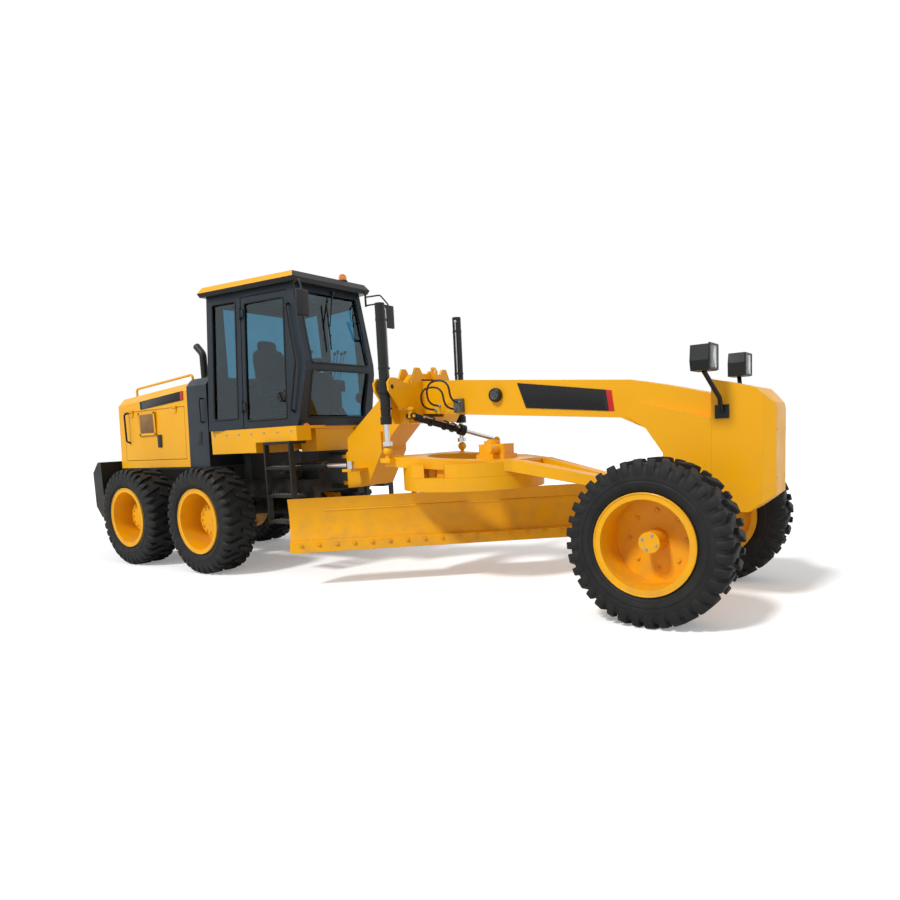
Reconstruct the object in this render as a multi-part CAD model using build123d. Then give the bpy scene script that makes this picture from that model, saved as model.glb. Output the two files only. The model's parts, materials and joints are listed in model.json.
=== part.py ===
"""Motor grader: rear frame with tandem drive, hood and cab; front frame with drawbar, circle and blade.

Millimetres. +X points forward, +Y to the machine's left, +Z up. The origin is on the ground,
under the middle of the machine's box. Each sub-part is written to parts/NODE.step.
"""
from build123d import *
import math
import os

# Layout along the machine, from the nose plate back to the rear plate
NOSE_OVERHANG = 680          # front axle to the front of the nose
WHEELBASE = 5840             # front axle to the tandem pivot
REAR_OVERHANG = 1950         # tandem pivot to the back of the rear plate
TANDEM_SPACING = 1480        # between the two rear wheels of one side
FRONT_AXLE_X = (WHEELBASE + REAR_OVERHANG - NOSE_OVERHANG) / 2
NOSE_FRONT_X = FRONT_AXLE_X + NOSE_OVERHANG
TANDEM_X = FRONT_AXLE_X - WHEELBASE
REAR_END_X = TANDEM_X - REAR_OVERHANG
HINGE_X = TANDEM_X + 2085    # articulation pin
SPAN = FRONT_AXLE_X - HINGE_X

# Wheels: a low-pressure tyre on a dished rim
TYRE_R = 600
TYRE_W = 400
TREAD_W = 350                # across the tread, between the shoulders
BEAD_R = 332                 # tyre seat on the rim
FLANGE_R = 368
LUG_COUNT = 18               # on each side of a tyre
LUG_H = 32
LUG_W = 62
FLANGE_T = 18
RIM_W = 370                  # between the flanges' outer faces
BARREL_T = 14
DISC_T = 18
FRONT_WHEEL_Y = 855          # tyre centre
REAR_WHEEL_Y = 955
FRONT_DISC_IN = 115          # disc inboard of the tyre centre
REAR_DISC_IN = 110
RUN_GAP = 0.05               # radial running clearance of a pin or shaft
SEAT_GAP = 0.3               # between faces that slide on each other
SLIDE_GAP = 5.0              # between parts that move past each other

# Front axle and steering
KING_Y = 600
KING_R = 35
AXLE_HALF_X = 80
AXLE_Z0 = TYRE_R - 70
AXLE_Z1 = TYRE_R + 100
AXLE_PIN_Z = TYRE_R + 40
FORK_T = 40
SPINDLE_R = 45
STEER_ARM = 240

# Front frame: the gooseneck's outline is a table of (x from the front axle, z)
BEAM_HALF = 170
NOSE_HALF = 250
NOSE_FOLD = 80
NOSE_X0 = FRONT_AXLE_X + 245
HINGE_Z0 = 905
HINGE_Z1 = 1290
HINGE_PIN_R = 50
HINGE_LUG_R = 105
HINGE_PLATE_T = 40

# Drawbar, circle and blade
BALL_X = FRONT_AXLE_X - 225
BALL_Z = 880
CIRCLE_X = FRONT_AXLE_X - round(SPAN * 0.55925)
CIRCLE_R = 690
CIRCLE_BORE_R = 560
TOOTH_H = 22
TOOTH_COUNT = 64
CIRCLE_Z0 = 915
CIRCLE_Z1 = 1040
DRIVE_Z = 1225               # seat of the circle's gearbox
BLADE_LENGTH = 3660
BLADE_ANGLE = 49             # at rest, from square across
BLADE_T = 18
BLADE_Z0 = 355
BLADE_Z1 = 880
BLADE_SAG = 80
EDGE_T = 16
EDGE_DROP = 0
RAIL_Z = (465, 765)        # middles of the two rails on the blade's back
TIP_W = 245                  # tip axis behind the circle's centre
TIP_Z = 560
ARM_U = 590                  # circle arms, along the blade from its middle
SHIFT_W = 118                # side-shift cylinder, behind the circle's centre
SHIFT_Z = 620

# Lift cylinders
LIFT_X = FRONT_AXLE_X - round(SPAN * 0.7084)
LIFT_Y = 620
LIFT_Z = 1905                # trunnion
LIFT_TOP_Z = 2685
LIFT_BALL_Z = 1300
BALL_R = 45
BARREL_R = 46
BARREL_BORE_R = 37
ROD_R = 25

SHIFT_A = (LIFT_X + 131, -400, 1627)      # centre-shift cylinder, saddle end
SHIFT_B = (CIRCLE_X - 29, 500, 1356)      # and drawbar end

# Rear frame, hood and cab
RAIL_Y0 = 300
RAIL_Y1 = 400
RAIL_Z0 = 800
RAIL_Z1 = 1010
CASE_Y0 = 540
CASE_Y1 = 720
HUB_R = 60
TOW_BORE_R = 20
NOSE_HOLE_R = 11
HOOD_X0 = TANDEM_X - 1565
HOOD_X1 = TANDEM_X + 35
HOOD_Z0 = 1195
HOOD_TOP_REAR = 2120
HOOD_TOP_FRONT = 2220
HOOD_T = 25
DOOR_X0 = HOOD_X0 + 130
DOOR_X1 = HOOD_X1 - 70
DOOR_Z0 = 1290
DOOR_Z1 = 1935
DOOR_GAP = 6
HOOD_PIN_Y = 680
HOOD_PIN_Z = DOOR_Z1 - 3
HINGE_XS = (DOOR_X0 + 200, DOOR_X1 - 200)
TANK_X1 = TANDEM_X + 440
CAB_X0 = TANDEM_X + 630
CAB_X1 = TANDEM_X + 1930
CAB_Z0 = 1600
CAB_Z1 = 3110
FLOOR_T = 30
POST = 60
GLASS_T = 8


def pad(x0, x1, y0, y1, z0, z1):
    """Rectangular block between the given faces."""
    block = Box(x1 - x0, y1 - y0, z1 - z0)
    return Pos((x0 + x1) / 2, (y0 + y1) / 2, (z0 + z1) / 2) * block


def side_plate(points, y0, y1):
    """Outline of (x, z) points, extruded across from y0 to y1."""
    face = make_face(Polyline([(x, y0, z) for x, z in points], close=True))
    return extrude(face, amount=y1 - y0, dir=(0, 1, 0))


def flat_plate(points, z0, z1):
    """Outline of (x, y) points, extruded up from z0 to z1."""
    face = make_face(Polyline([(x, y, z0) for x, y in points], close=True))
    return extrude(face, amount=z1 - z0, dir=(0, 0, 1))


def cross_plate(points, x0, x1):
    """Outline of (y, z) points, extruded forward from x0 to x1."""
    face = make_face(Polyline([(x0, y, z) for y, z in points], close=True))
    return extrude(face, amount=x1 - x0, dir=(1, 0, 0))


def rod(start, end, radius):
    """Round bar between two points."""
    a, b = Vector(*start), Vector(*end)
    return Plane(origin=a, z_dir=b - a) * Cylinder(
        radius, (b - a).length, align=(Align.CENTER, Align.CENTER, Align.MIN))


def pipe(points, radius, bend):
    """Round bar along straight runs joined by arcs of one radius."""
    path = FilletPolyline(*points, radius=bend)
    start = Plane(origin=path @ 0, z_dir=path % 0)
    return sweep(start * Circle(radius), path=path)


def mirrored(shape):
    """The same piece on the machine's other side."""
    return mirror(shape, about=Plane.XZ)


def turned(profile):
    """Closed (y, r) outline turned about the Y axis."""
    face = make_face(Polyline([(r, y, 0) for y, r in profile], close=True))
    return revolve(face, axis=Axis.Y)


def save(name, shape):
    export_step(shape, f"parts/{name}.step")


# ---- wheels ---------------------------------------------------------------------------------

def tyre():
    """Lugged tyre about its own centre, axle along Y: two rows of bars, staggered and slanted."""
    half, tread, seat_w = TYRE_W / 2, TREAD_W / 2, RIM_W / 2 - FLANGE_T
    base_r = TYRE_R - LUG_H
    right = [(seat_w, BEAD_R), (seat_w, FLANGE_R + 6), (half, FLANGE_R + 60), (half, base_r - 60),
             (tread - 10, base_r)]
    left = [(-y, r) for y, r in reversed(right)]
    body = turned(right + left)
    lugs = []
    for side in (-1, 1):
        bar = pad(-LUG_W / 2, LUG_W / 2, *sorted((side * 12, side * tread)), -LUG_H / 2 - 8, LUG_H / 2)
        bar = Pos(0, 0, TYRE_R - LUG_H / 2 - 1) * (Rot(0, 0, side * 18) * bar)
        for i in range(LUG_COUNT):
            lugs.append(Rot(0, 360 * (i + (side + 1) / 4) / LUG_COUNT, 0) * bar)
    return body + lugs


def rim(disc_in, hub_in, hub_out, hub_r, cap_r, bore_r):
    """Rim with its disc inboard of the centre and a hub that turns on a spindle from the -Y side."""
    w = RIM_W / 2
    inner = BEAD_R - BARREL_T
    barrel = turned([(-w, inner), (-w, FLANGE_R), (-w + FLANGE_T, FLANGE_R), (-w + FLANGE_T, BEAD_R),
                     (w - FLANGE_T, BEAD_R), (w - FLANGE_T, FLANGE_R), (w, FLANGE_R), (w, inner)])
    back = -disc_in - DISC_T
    disc = turned([(back, 0), (back, inner + 1), (-disc_in, inner + 1), (-disc_in, 0)])
    drum = turned([(-hub_in, 0), (-hub_in, hub_r), (-disc_in, hub_r), (-disc_in, 0)])
    cap = turned([(-disc_in, 0), (-disc_in, cap_r), (hub_out, cap_r), (hub_out, 0)])
    bore = turned([(-hub_in - 1, 0), (-hub_in - 1, bore_r), (-disc_in - 2, bore_r), (-disc_in - 2, 0)])
    return barrel + disc + drum + cap - bore


def wheel_set():
    """Six wheels from a table of (name, x, y, steered)."""
    rear = REAR_WHEEL_Y
    table = [("front", FRONT_AXLE_X, FRONT_WHEEL_Y, True),
             ("middle", TANDEM_X + TANDEM_SPACING / 2, rear, False),
             ("rear", TANDEM_X - TANDEM_SPACING / 2, rear, False)]
    front_rim = rim(FRONT_DISC_IN, FRONT_WHEEL_Y - KING_Y - 68, 70, 118, 78, SPINDLE_R + RUN_GAP)
    rear_rim = rim(REAR_DISC_IN, rear - CASE_Y1 - 15, 15, 180, 172, HUB_R + RUN_GAP)
    for name, x, y, steered in table:
        hub = front_rim if steered else rear_rim
        place = Pos(x, y, TYRE_R)
        left_tyre, left_rim = place * tyre(), place * hub
        save(f"tyre_{name}_left", left_tyre)
        save(f"rim_{name}_left", left_rim)
        save(f"tyre_{name}_right", mirrored(left_tyre))
        save(f"rim_{name}_right", mirrored(left_rim))


# ---- front axle and steering ----------------------------------------------------------------

def front_axle():
    """Axle beam with a fork and king pin at each end, hung on a fore-and-aft pin."""
    x0, x1 = FRONT_AXLE_X - AXLE_HALF_X, FRONT_AXLE_X + AXLE_HALF_X
    end = KING_Y - 130
    beam = cross_plate([(-end, AXLE_Z0), (end, AXLE_Z0), (end, AXLE_Z1), (200, AXLE_Z1 - 20),
                        (-200, AXLE_Z1 - 20), (-end, AXLE_Z1)], x0, x1)
    fork_z = ((AXLE_Z1 - 10, AXLE_Z1 - 10 + FORK_T), (AXLE_Z0 - FORK_T + 10, AXLE_Z0 + 10))
    for z0, z1 in fork_z:
        for side in (-1, 1):
            beam += pad(x0 + 15, x1 - 15, *sorted((side * (end - 40), side * KING_Y)), z0, z1)
            beam += Pos(FRONT_AXLE_X, side * KING_Y, (z0 + z1) / 2) * Cylinder(52, z1 - z0)
    for side in (-1, 1):
        y = side * KING_Y
        beam += rod((FRONT_AXLE_X, y, fork_z[1][0]), (FRONT_AXLE_X, y, fork_z[0][1]), KING_R)
    return beam + rod((x0 - 70, 0, AXLE_PIN_Z), (x1 + 70, 0, AXLE_PIN_Z), 38)


def knuckle_left():
    """Steering knuckle: barrel on the king pin, spindle outward, arm back to the tie rod."""
    z0, z1 = AXLE_Z0 + 11, AXLE_Z1 - 11
    body = Pos(FRONT_AXLE_X, KING_Y, (z0 + z1) / 2) * Cylinder(60, z1 - z0)
    tip_y = FRONT_WHEEL_Y - FRONT_DISC_IN - DISC_T - 10
    body += rod((FRONT_AXLE_X, KING_Y, TYRE_R), (FRONT_AXLE_X, tip_y, TYRE_R), SPINDLE_R)
    arm_z = (z0 + 5, z0 + 30)
    arm_x = FRONT_AXLE_X - STEER_ARM
    body += pad(arm_x, FRONT_AXLE_X, KING_Y - 28, KING_Y + 28, *arm_z)
    body += Pos(arm_x, KING_Y, sum(arm_z) / 2) * Cylinder(32, arm_z[1] - arm_z[0])
    body += rod((arm_x, KING_Y, arm_z[0] - 40), (arm_x, KING_Y, arm_z[0] + 5), 14)
    return body - Pos(FRONT_AXLE_X, KING_Y, (z0 + z1) / 2) * Cylinder(KING_R + RUN_GAP, z1 - z0 + 2)


def tie_rod():
    """Bar between the two steering arms, with an eye round each arm's pin."""
    z = AXLE_Z0 + 11 - 20
    x = FRONT_AXLE_X - STEER_ARM
    bar = rod((x, -KING_Y + 30, z), (x, KING_Y - 30, z), 20)
    for side in (-1, 1):
        bar += Pos(x, side * KING_Y, z) * Cylinder(34, 34)
        bar -= Pos(x, side * KING_Y, z) * Cylinder(14 + RUN_GAP, 60)
    return bar


# ---- front frame ----------------------------------------------------------------------------

def ball_bracket():
    """Forked bracket with the drawbar's upright pin, bolted on the foot of the gooseneck."""
    foot_x = FRONT_AXLE_X - 156
    bracket = rod((BALL_X, 0, BALL_Z - 75), (BALL_X, 0, BALL_Z + 75), 30)
    for z0, z1 in ((BALL_Z - 75, BALL_Z - 50), (BALL_Z + 50, BALL_Z + 75)):
        bracket += pad(BALL_X, foot_x, -55, 55, z0, z1)
        bracket += Pos(BALL_X, 0, (z0 + z1) / 2) * Cylinder(55, z1 - z0)
    return bracket


def gooseneck():
    """Arched box beam from the hinge up over the circle and down to the front axle."""
    a = FRONT_AXLE_X
    leg_top = [(a - SPAN * 0.551, 1940), (a - SPAN * 0.746, 1985), (a - SPAN * 0.799, 1930)]
    leg_foot = [(HINGE_X + 120, 1440), (HINGE_X + 120, HINGE_Z0), (HINGE_X + 170, HINGE_Z0)]
    leg_under = [(a - SPAN * 0.754, 1600), (a - SPAN * 0.719, 1655), (a - SPAN * 0.6445, 1640)]
    front_top = [(NOSE_X0, 1640), (a - 120, 1735), (a - 410, 1800)]
    front_under = [(a - 500, 1500), (a - 280, 1400), (a - 140, 1200), (a - 156, 790), (NOSE_X0, 770)]
    outline = front_top + leg_top + leg_foot + leg_under + front_under
    beam = side_plate(outline, -BEAM_HALF, BEAM_HALF)
    beam += side_plate([(HINGE_X + 120, HINGE_Z0), (HINGE_X + 420, HINGE_Z0 + 30), (HINGE_X + 640, 1290),
                        (HINGE_X + 640, 1500), (HINGE_X + 120, HINGE_Z1)], -200, 200)
    cheek = side_plate([(a - 460, 1510), (a - 330, 1615), (NOSE_X0, 1455), (NOSE_X0, 775), (a - 156, 790),
                        (a - 140, 1200), (a - 280, 1400)], 160, NOSE_HALF)
    flare = [(a - 460, 150), (a - 460, BEAM_HALF), (NOSE_X0, NOSE_HALF), (NOSE_X0, 150)]
    cheek &= flat_plate(flare, 700, 1700)
    beam += cheek + mirrored(cheek)
    for z0 in (HINGE_Z0 + 25, HINGE_Z1 - 25 - HINGE_PLATE_T):
        beam += pad(HINGE_X, HINGE_X + 130, -HINGE_LUG_R, HINGE_LUG_R, z0, z0 + HINGE_PLATE_T)
        beam += Pos(HINGE_X, 0, z0 + HINGE_PLATE_T / 2) * Cylinder(HINGE_LUG_R, HINGE_PLATE_T)
    for side in (-1, 1):
        beam += pad(HINGE_X + 300, HINGE_X + 430, *sorted((side * 150, side * 460)), 1095, 1125)
        beam += Pos(HINGE_X + 380, side * 410, 1110) * Cylinder(50, 30)
    for x0, x1 in ((a - 150, a - 118), (a + 118, a + 150)):
        beam += pad(x0, x1, -95, 95, AXLE_PIN_Z - 55, 800)
    beam -= Pos(HINGE_X, 0, 1100) * Cylinder(HINGE_PIN_R + RUN_GAP, 600)
    beam -= rod((a - 160, 0, AXLE_PIN_Z), (a + 160, 0, AXLE_PIN_Z), 38.3)
    return Compound([beam, ball_bracket()])


def nose():
    """Folded nose box, with a slot in its sloping top."""
    a = FRONT_AXLE_X
    outline = [(NOSE_X0, 1745), (a + 560, 1660), (NOSE_FRONT_X - 10, 1545), (NOSE_FRONT_X, 1500),
               (NOSE_FRONT_X, 880), (a + 510, 750), (NOSE_X0, 750)]
    box = side_plate(outline, -NOSE_HALF, NOSE_HALF)
    corner = flat_plate([(NOSE_FRONT_X - NOSE_FOLD, NOSE_HALF + 1),
                         (NOSE_FRONT_X + 1, NOSE_HALF - NOSE_FOLD),
                         (NOSE_FRONT_X + 1, NOSE_HALF + 1)], 700, 1800)
    box -= corner + mirrored(corner)
    box -= pad(a + 330, a + 480, -90, 90, 1600, 1800)
    for y in (-150, 150):
        for z in (1000, 1350):
            box -= rod((NOSE_FRONT_X - 70, y, z), (NOSE_FRONT_X + 5, y, z), NOSE_HOLE_R)
    return box


def headlight_left():
    """Lamp on a bent stalk from the nose."""
    a = FRONT_AXLE_X
    foot = pad(NOSE_X0 + 30, NOSE_X0 + 130, NOSE_HALF, NOSE_HALF + 12, 1450, 1550)
    stalk = pipe([(NOSE_X0 + 80, NOSE_HALF + 26, 1500), (NOSE_X0 + 80, NOSE_HALF + 70, 1600),
                  (a + 265, 500, 1790)], 17, 40)
    lamp = cross_plate([(400, 1790), (600, 1790), (620, 1860), (600, 1970), (420, 1980), (395, 1900)],
                       a + 200, a + 330)
    return foot + stalk + lamp


def saddle():
    """Yoke round the gooseneck: a box between two notched plates whose arms fork round the cylinders."""
    half = [(0, 2045), (150, 2045), (190, 2100), (250, 2100), (335, 1935), (430, 1945), (560, 1990),
            (630, 1990),
            (675, 1945), (665, 1870), (400, 1575), (380, 1560)]
    outline = half[1:] + [(-y, z) for y, z in reversed(half[1:])]
    sleeve = cross_plate([(-345, 1560), (345, 1560), (345, 1900), (190, 2045), (-190, 2045), (-345, 1900)],
                         LIFT_X - 75, LIFT_X + 75)
    yoke = sleeve + cross_plate(outline, LIFT_X - 100, LIFT_X - 75) + cross_plate(outline, LIFT_X + 75,
                                                                                  LIFT_X + 100)
    yoke -= pad(LIFT_X - 110, LIFT_X + 110, -BEAM_HALF - SEAT_GAP, BEAM_HALF + SEAT_GAP, 1620, 1992)
    yoke -= pad(LIFT_X + 60, LIFT_X + 105, -500, -318, 1500, 1705)
    for side in (-1, 1):
        yoke -= rod((LIFT_X - 110, side * LIFT_Y, LIFT_Z), (LIFT_X + 110, side * LIFT_Y, LIFT_Z),
                    22 + RUN_GAP)
    lug = side_plate([(LIFT_X + 100, 2000), (LIFT_X + 165, 1990), (LIFT_X + 165, 2070),
                      (LIFT_X + 140, 2110),
                      (LIFT_X + 100, 2110)], -15, 15)
    yoke += lug - rod((LIFT_X + 133, -20, 2070), (LIFT_X + 133, 20, 2070), 16)
    x, y, z = SHIFT_A
    yoke += pad(LIFT_X, x, y - 45, -300, z + 57 + SEAT_GAP, z + 85)
    yoke += Pos(x, y, z + 71 + SEAT_GAP / 2) * Cylinder(45, 28 - SEAT_GAP)
    return yoke - rod((x, y, z + 30), (x, y, z + 95), 20 + RUN_GAP)


# ---- drawbar, circle, blade -----------------------------------------------------------------

def draw_ball():
    """Universal block on the gooseneck's pin; its side stubs carry the drawbar."""
    block = Pos(BALL_X, 0, BALL_Z) * Cylinder(52, 98)
    block += rod((BALL_X, -110, BALL_Z), (BALL_X, 110, BALL_Z), 28)
    return block - Pos(BALL_X, 0, BALL_Z) * Cylinder(30 + RUN_GAP, 120)


def circle_shoe():
    """Guide shoe inside the ring, with a lip that carries it. Drawn on the +X side of the origin."""
    web = pad(CIRCLE_BORE_R - 45, CIRCLE_BORE_R - TOOTH_H - SLIDE_GAP, -50, 50, CIRCLE_Z0 - 12, 1170)
    return web + pad(CIRCLE_BORE_R - 45, CIRCLE_BORE_R + 18, -50, 50, CIRCLE_Z0 - 12, CIRCLE_Z0 - SEAT_GAP)


def circle_drive():
    """Worm gearbox with its ribbed cover and motor, bolted on the drawbar's deck."""
    z = DRIVE_Z
    box = pad(CIRCLE_X + 130, CIRCLE_X + 420, -110, 110, z, z + 95)
    box = chamfer(box.edges().filter_by(Axis.Z), 25)
    box += Pos(CIRCLE_X + 230, 0, z + 110) * Cylinder(78, 32)
    box += Pos(CIRCLE_X + 230, 0, z + 132) * Cylinder(48, 16)
    motor = rod((CIRCLE_X + 340, -110, z + 50), (CIRCLE_X + 340, -250, z + 50), 42)
    motor += rod((CIRCLE_X + 340, -110, z + 50), (CIRCLE_X + 340, -130, z + 50), 48)
    return box + motor


def drawbar():
    """A-frame over the circle, bent down to its ball at the front."""
    a = FRONT_AXLE_X
    plan = flat_plate([(BALL_X - 70, -100), (BALL_X - 70, 100), (CIRCLE_X + 640, 330),
                       (CIRCLE_X + 300, 560),
                       (LIFT_X - 60, 600), (LIFT_X - 60, -600), (CIRCLE_X + 300, -560), (CIRCLE_X + 640,
                                                                                         -330)],
                      700, 1500)
    plan -= Pos(CIRCLE_X, 0, 1100) * Cylinder(CIRCLE_BORE_R - 110, 800)
    plan -= flat_plate([(BALL_X - 350, 0), (CIRCLE_X + 620, -200), (CIRCLE_X + 620, 200)], 700, 1500)
    band = side_plate([(BALL_X - 60, 925), (a - 800, 1035), (CIRCLE_X + 700, 1170), (LIFT_X - 80, 1250),
                       (LIFT_X - 80, 1150), (CIRCLE_X + 600, 1080), (a - 800, 940), (BALL_X - 60,
                                                                                     835)], -700, 700)
    bar = plan & band
    ring_z = CIRCLE_Z1 + SEAT_GAP
    skirt = Pos(CIRCLE_X, 0, (ring_z + 1165) / 2) * (Cylinder(CIRCLE_R, 1165 - ring_z)
                                                    - Cylinder(CIRCLE_R - 40, 1165 - ring_z))
    bar += skirt & pad(CIRCLE_X - 900, CIRCLE_X + 900, -640, 640, 1000, 1300)
    bar += pad(CIRCLE_X + 110, CIRCLE_X + 470, -400, 400, 1150, 1185)
    bar += pad(CIRCLE_X + 120, CIRCLE_X + 430, -120, 120, 1160, DRIVE_Z)
    for angle in (0, 90, 180, 270):
        bar += Pos(CIRCLE_X, 0, 0) * (Rot(0, 0, angle) * circle_shoe())
    for side in (-1, 1):
        bar += pad(LIFT_X - 60, LIFT_X + 60, *sorted((side * 540, side * (LIFT_Y + 50))), 1190, 1235)
        bar += rod((LIFT_X, side * LIFT_Y, 1220), (LIFT_X, side * LIFT_Y, LIFT_BALL_Z), 20)
        bar += Pos(LIFT_X, side * LIFT_Y, LIFT_BALL_Z) * Sphere(BALL_R)
    x, y, z = SHIFT_B
    bar += rod((x, y, 1150), (x, y, z), 22)
    bar += Pos(x, y, z) * Sphere(32)
    return bar + circle_drive()


def drawbar_cheek_left():
    """Cheek plate on the drawbar's front end, bored for the swing block's stub."""
    cheek = pad(BALL_X - 70, BALL_X, 66, 98, BALL_Z - 42, BALL_Z + 42)
    cheek += rod((BALL_X, 66, BALL_Z), (BALL_X, 98, BALL_Z), 46)
    return cheek - rod((BALL_X, 60, BALL_Z), (BALL_X, 120, BALL_Z), 28 + RUN_GAP)


def at_blade(shape):
    """Turns a piece drawn with the blade square across to the rest angle."""
    return Pos(CIRCLE_X, 0, 0) * (Rot(0, 0, -BLADE_ANGLE) * shape)


def circle():
    """Internally toothed ring with two arms down to the blade's tip axis. Drawn back along -X."""
    height = CIRCLE_Z1 - CIRCLE_Z0
    ring = Pos(0, 0, CIRCLE_Z0 + height / 2) * (Cylinder(CIRCLE_R, height) - Cylinder(CIRCLE_BORE_R,
                                                                                      height))
    root_w, tip_w = 16, 9
    tooth = flat_plate([(CIRCLE_BORE_R + 4, -root_w), (CIRCLE_BORE_R - TOOTH_H, -tip_w),
                        (CIRCLE_BORE_R - TOOTH_H, tip_w), (CIRCLE_BORE_R + 4,
                                                           root_w)], CIRCLE_Z0 + 40, CIRCLE_Z1)
    ring += [Rot(0, 0, 360 * i / TOOTH_COUNT) * tooth for i in range(TOOTH_COUNT)]
    for side in (-1, 1):
        y0, y1 = sorted((side * (ARM_U - 25), side * (ARM_U + 25)))
        arm = side_plate([(-150, CIRCLE_Z0 + 5), (-360, CIRCLE_Z0 + 5), (-330, 560), (-290, 500),
                          (-200, 500),
                          (-185, 560), (-170, 700)], y0, y1)
        ring += arm
        ring -= rod((-TIP_W, y0 - 5, TIP_Z), (-TIP_W, y1 + 5, TIP_Z), 30 + RUN_GAP)
    return ring


def blade_carrier():
    """Cross tube on the tip axis with two brackets whose jaws hold the blade's rails."""
    reach = ARM_U - 25 - SLIDE_GAP
    tube = rod((-TIP_W, -reach, TIP_Z), (-TIP_W, reach, TIP_Z), 48)
    tube += rod((-TIP_W, -ARM_U - 25, TIP_Z), (-TIP_W, ARM_U + 25, TIP_Z), 30)
    for side in (-1, 1):
        y0, y1 = sorted((side * 400, side * 460))
        tube += side_plate([(-92, 423), (-TIP_W, 480), (-TIP_W - 40, 560), (-TIP_W, 680), (-92, 807)], y0,
                           y1)
        tube += pad(-100, -62, y0, y1, RAIL_Z[1] + 18.3, RAIL_Z[1] + 42)
        tube += pad(-100, -62, y0, y1, RAIL_Z[0] - 42, RAIL_Z[0] - 18.3)
    barrel = rod((-SHIFT_W, -600, SHIFT_Z), (-SHIFT_W, 500, SHIFT_Z), 30)
    return tube + barrel - rod((-SHIFT_W, -560, SHIFT_Z), (-SHIFT_W, 510, SHIFT_Z), 22)


def moldboard():
    """Curved blade plate."""
    half = BLADE_LENGTH / 2
    mid_z = (BLADE_Z0 + BLADE_Z1) / 2
    mid_x = -20 - BLADE_SAG / 2
    front = ThreePointArc((30, -half, BLADE_Z0), (mid_x, -half, mid_z), (0, -half, BLADE_Z1))
    back = ThreePointArc((-BLADE_T, -half, BLADE_Z1), (mid_x - BLADE_T, -half, mid_z),
                         (30 - BLADE_T, -half, BLADE_Z0))
    top = Line(front @ 1, back @ 0)
    foot = Line(back @ 1, front @ 0)
    return extrude(make_face([front, top, back, foot]), amount=2 * half, dir=(0, 1, 0))


def blade_rails():
    """Two slide rails and the side-shift rod's bracket on the blade's back, with the rod."""
    rails = pad(-SHIFT_W - 25, -60, 1125, 1165, RAIL_Z[0], RAIL_Z[1])
    for z in RAIL_Z:
        rails += pad(-84, -45, -1500, 1500, z - 18, z + 18)
    return rails - moldboard() + rod((-SHIFT_W, -40, SHIFT_Z), (-SHIFT_W, 1130, SHIFT_Z), 17)


def cutting_edge():
    """Bolted wear edge on the blade's lower front, in two lengths, with an end bit at each side."""
    half = BLADE_LENGTH / 2
    outline = [(30, BLADE_Z0 - EDGE_DROP), (30 + EDGE_T, BLADE_Z0 - EDGE_DROP),
               (18 + EDGE_T, BLADE_Z0 + 100),
               (-8 + SEAT_GAP, BLADE_Z0 + 110), (12, BLADE_Z0 + 50), (30 + SEAT_GAP, BLADE_Z0)]
    return [side_plate(outline, y0, y1) for y0, y1 in ((-half, -1), (1, half))]


# ---- cylinders ------------------------------------------------------------------------------

def lift_barrel_left():
    """Lift cylinder's tube, hung on fore-and-aft trunnions."""
    y = LIFT_Y
    tube = rod((LIFT_X, y, 1570), (LIFT_X, y, LIFT_TOP_Z), BARREL_R)
    tube += rod((LIFT_X, y, 1555), (LIFT_X, y, 1620), BARREL_R + 6)
    tube += rod((LIFT_X, y, LIFT_Z - 55), (LIFT_X, y, LIFT_Z + 55), 64)
    tube += rod((LIFT_X - 100, y, LIFT_Z), (LIFT_X + 100, y, LIFT_Z), 22)
    tube -= rod((LIFT_X, y, 1500), (LIFT_X, y, 1605), ROD_R + RUN_GAP)
    return tube - rod((LIFT_X, y, 1600), (LIFT_X, y, LIFT_TOP_Z - 25), BARREL_BORE_R)


def lift_rod_left():
    """Lift cylinder's rod, with its piston and the cap over the drawbar's ball."""
    y = LIFT_Y
    top = LIFT_TOP_Z - 190
    shaft = rod((LIFT_X, y, LIFT_BALL_Z + BALL_R + 3), (LIFT_X, y, top), ROD_R)
    shaft += rod((LIFT_X, y, top - 60), (LIFT_X, y, top), BARREL_BORE_R - RUN_GAP)
    return shaft + rod((LIFT_X, y, LIFT_BALL_Z + BALL_R + 3), (LIFT_X, y, LIFT_BALL_Z + BALL_R + 45), 48)


def ram(start, end, mouth, r, rod_r, piston, heel=35, toe=30):
    """Tube from its rear end to its mouth and the rod in it, short of both eyes, measured from start."""
    a, b = Vector(*start), Vector(*end)
    d = (b - a).normalized()
    tube = rod(a + d * heel, a + d * mouth, r) - rod(a + d * (heel + 30), a + d * (mouth + 5), r - 9)
    tube += rod(a + d * (mouth - 40), a + d * mouth, r + 6) - rod(a + d * (mouth - 50),
                                                                  a + d * (mouth + 5),
                                                                 rod_r + RUN_GAP)
    bar = rod(a + d * piston, b - d * toe, rod_r)
    bar += rod(a + d * piston, a + d * (piston + 45), r - 9 - RUN_GAP)
    return tube, bar


def artic_ram_left():
    """Articulation cylinder between the two frames, lying flat beside the hinge."""
    start, end = (HINGE_X - 500, 520, 1165), (HINGE_X + 380, 410, 1165)
    tube, bar = ram(start, end, 570, 42, 24, 270)
    tube += Pos(*start) * Cylinder(48, 100)
    tube -= Pos(*start) * Cylinder(20 + RUN_GAP, 120)
    bar += Pos(*end) * Cylinder(44, 78)
    return tube, bar


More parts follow.
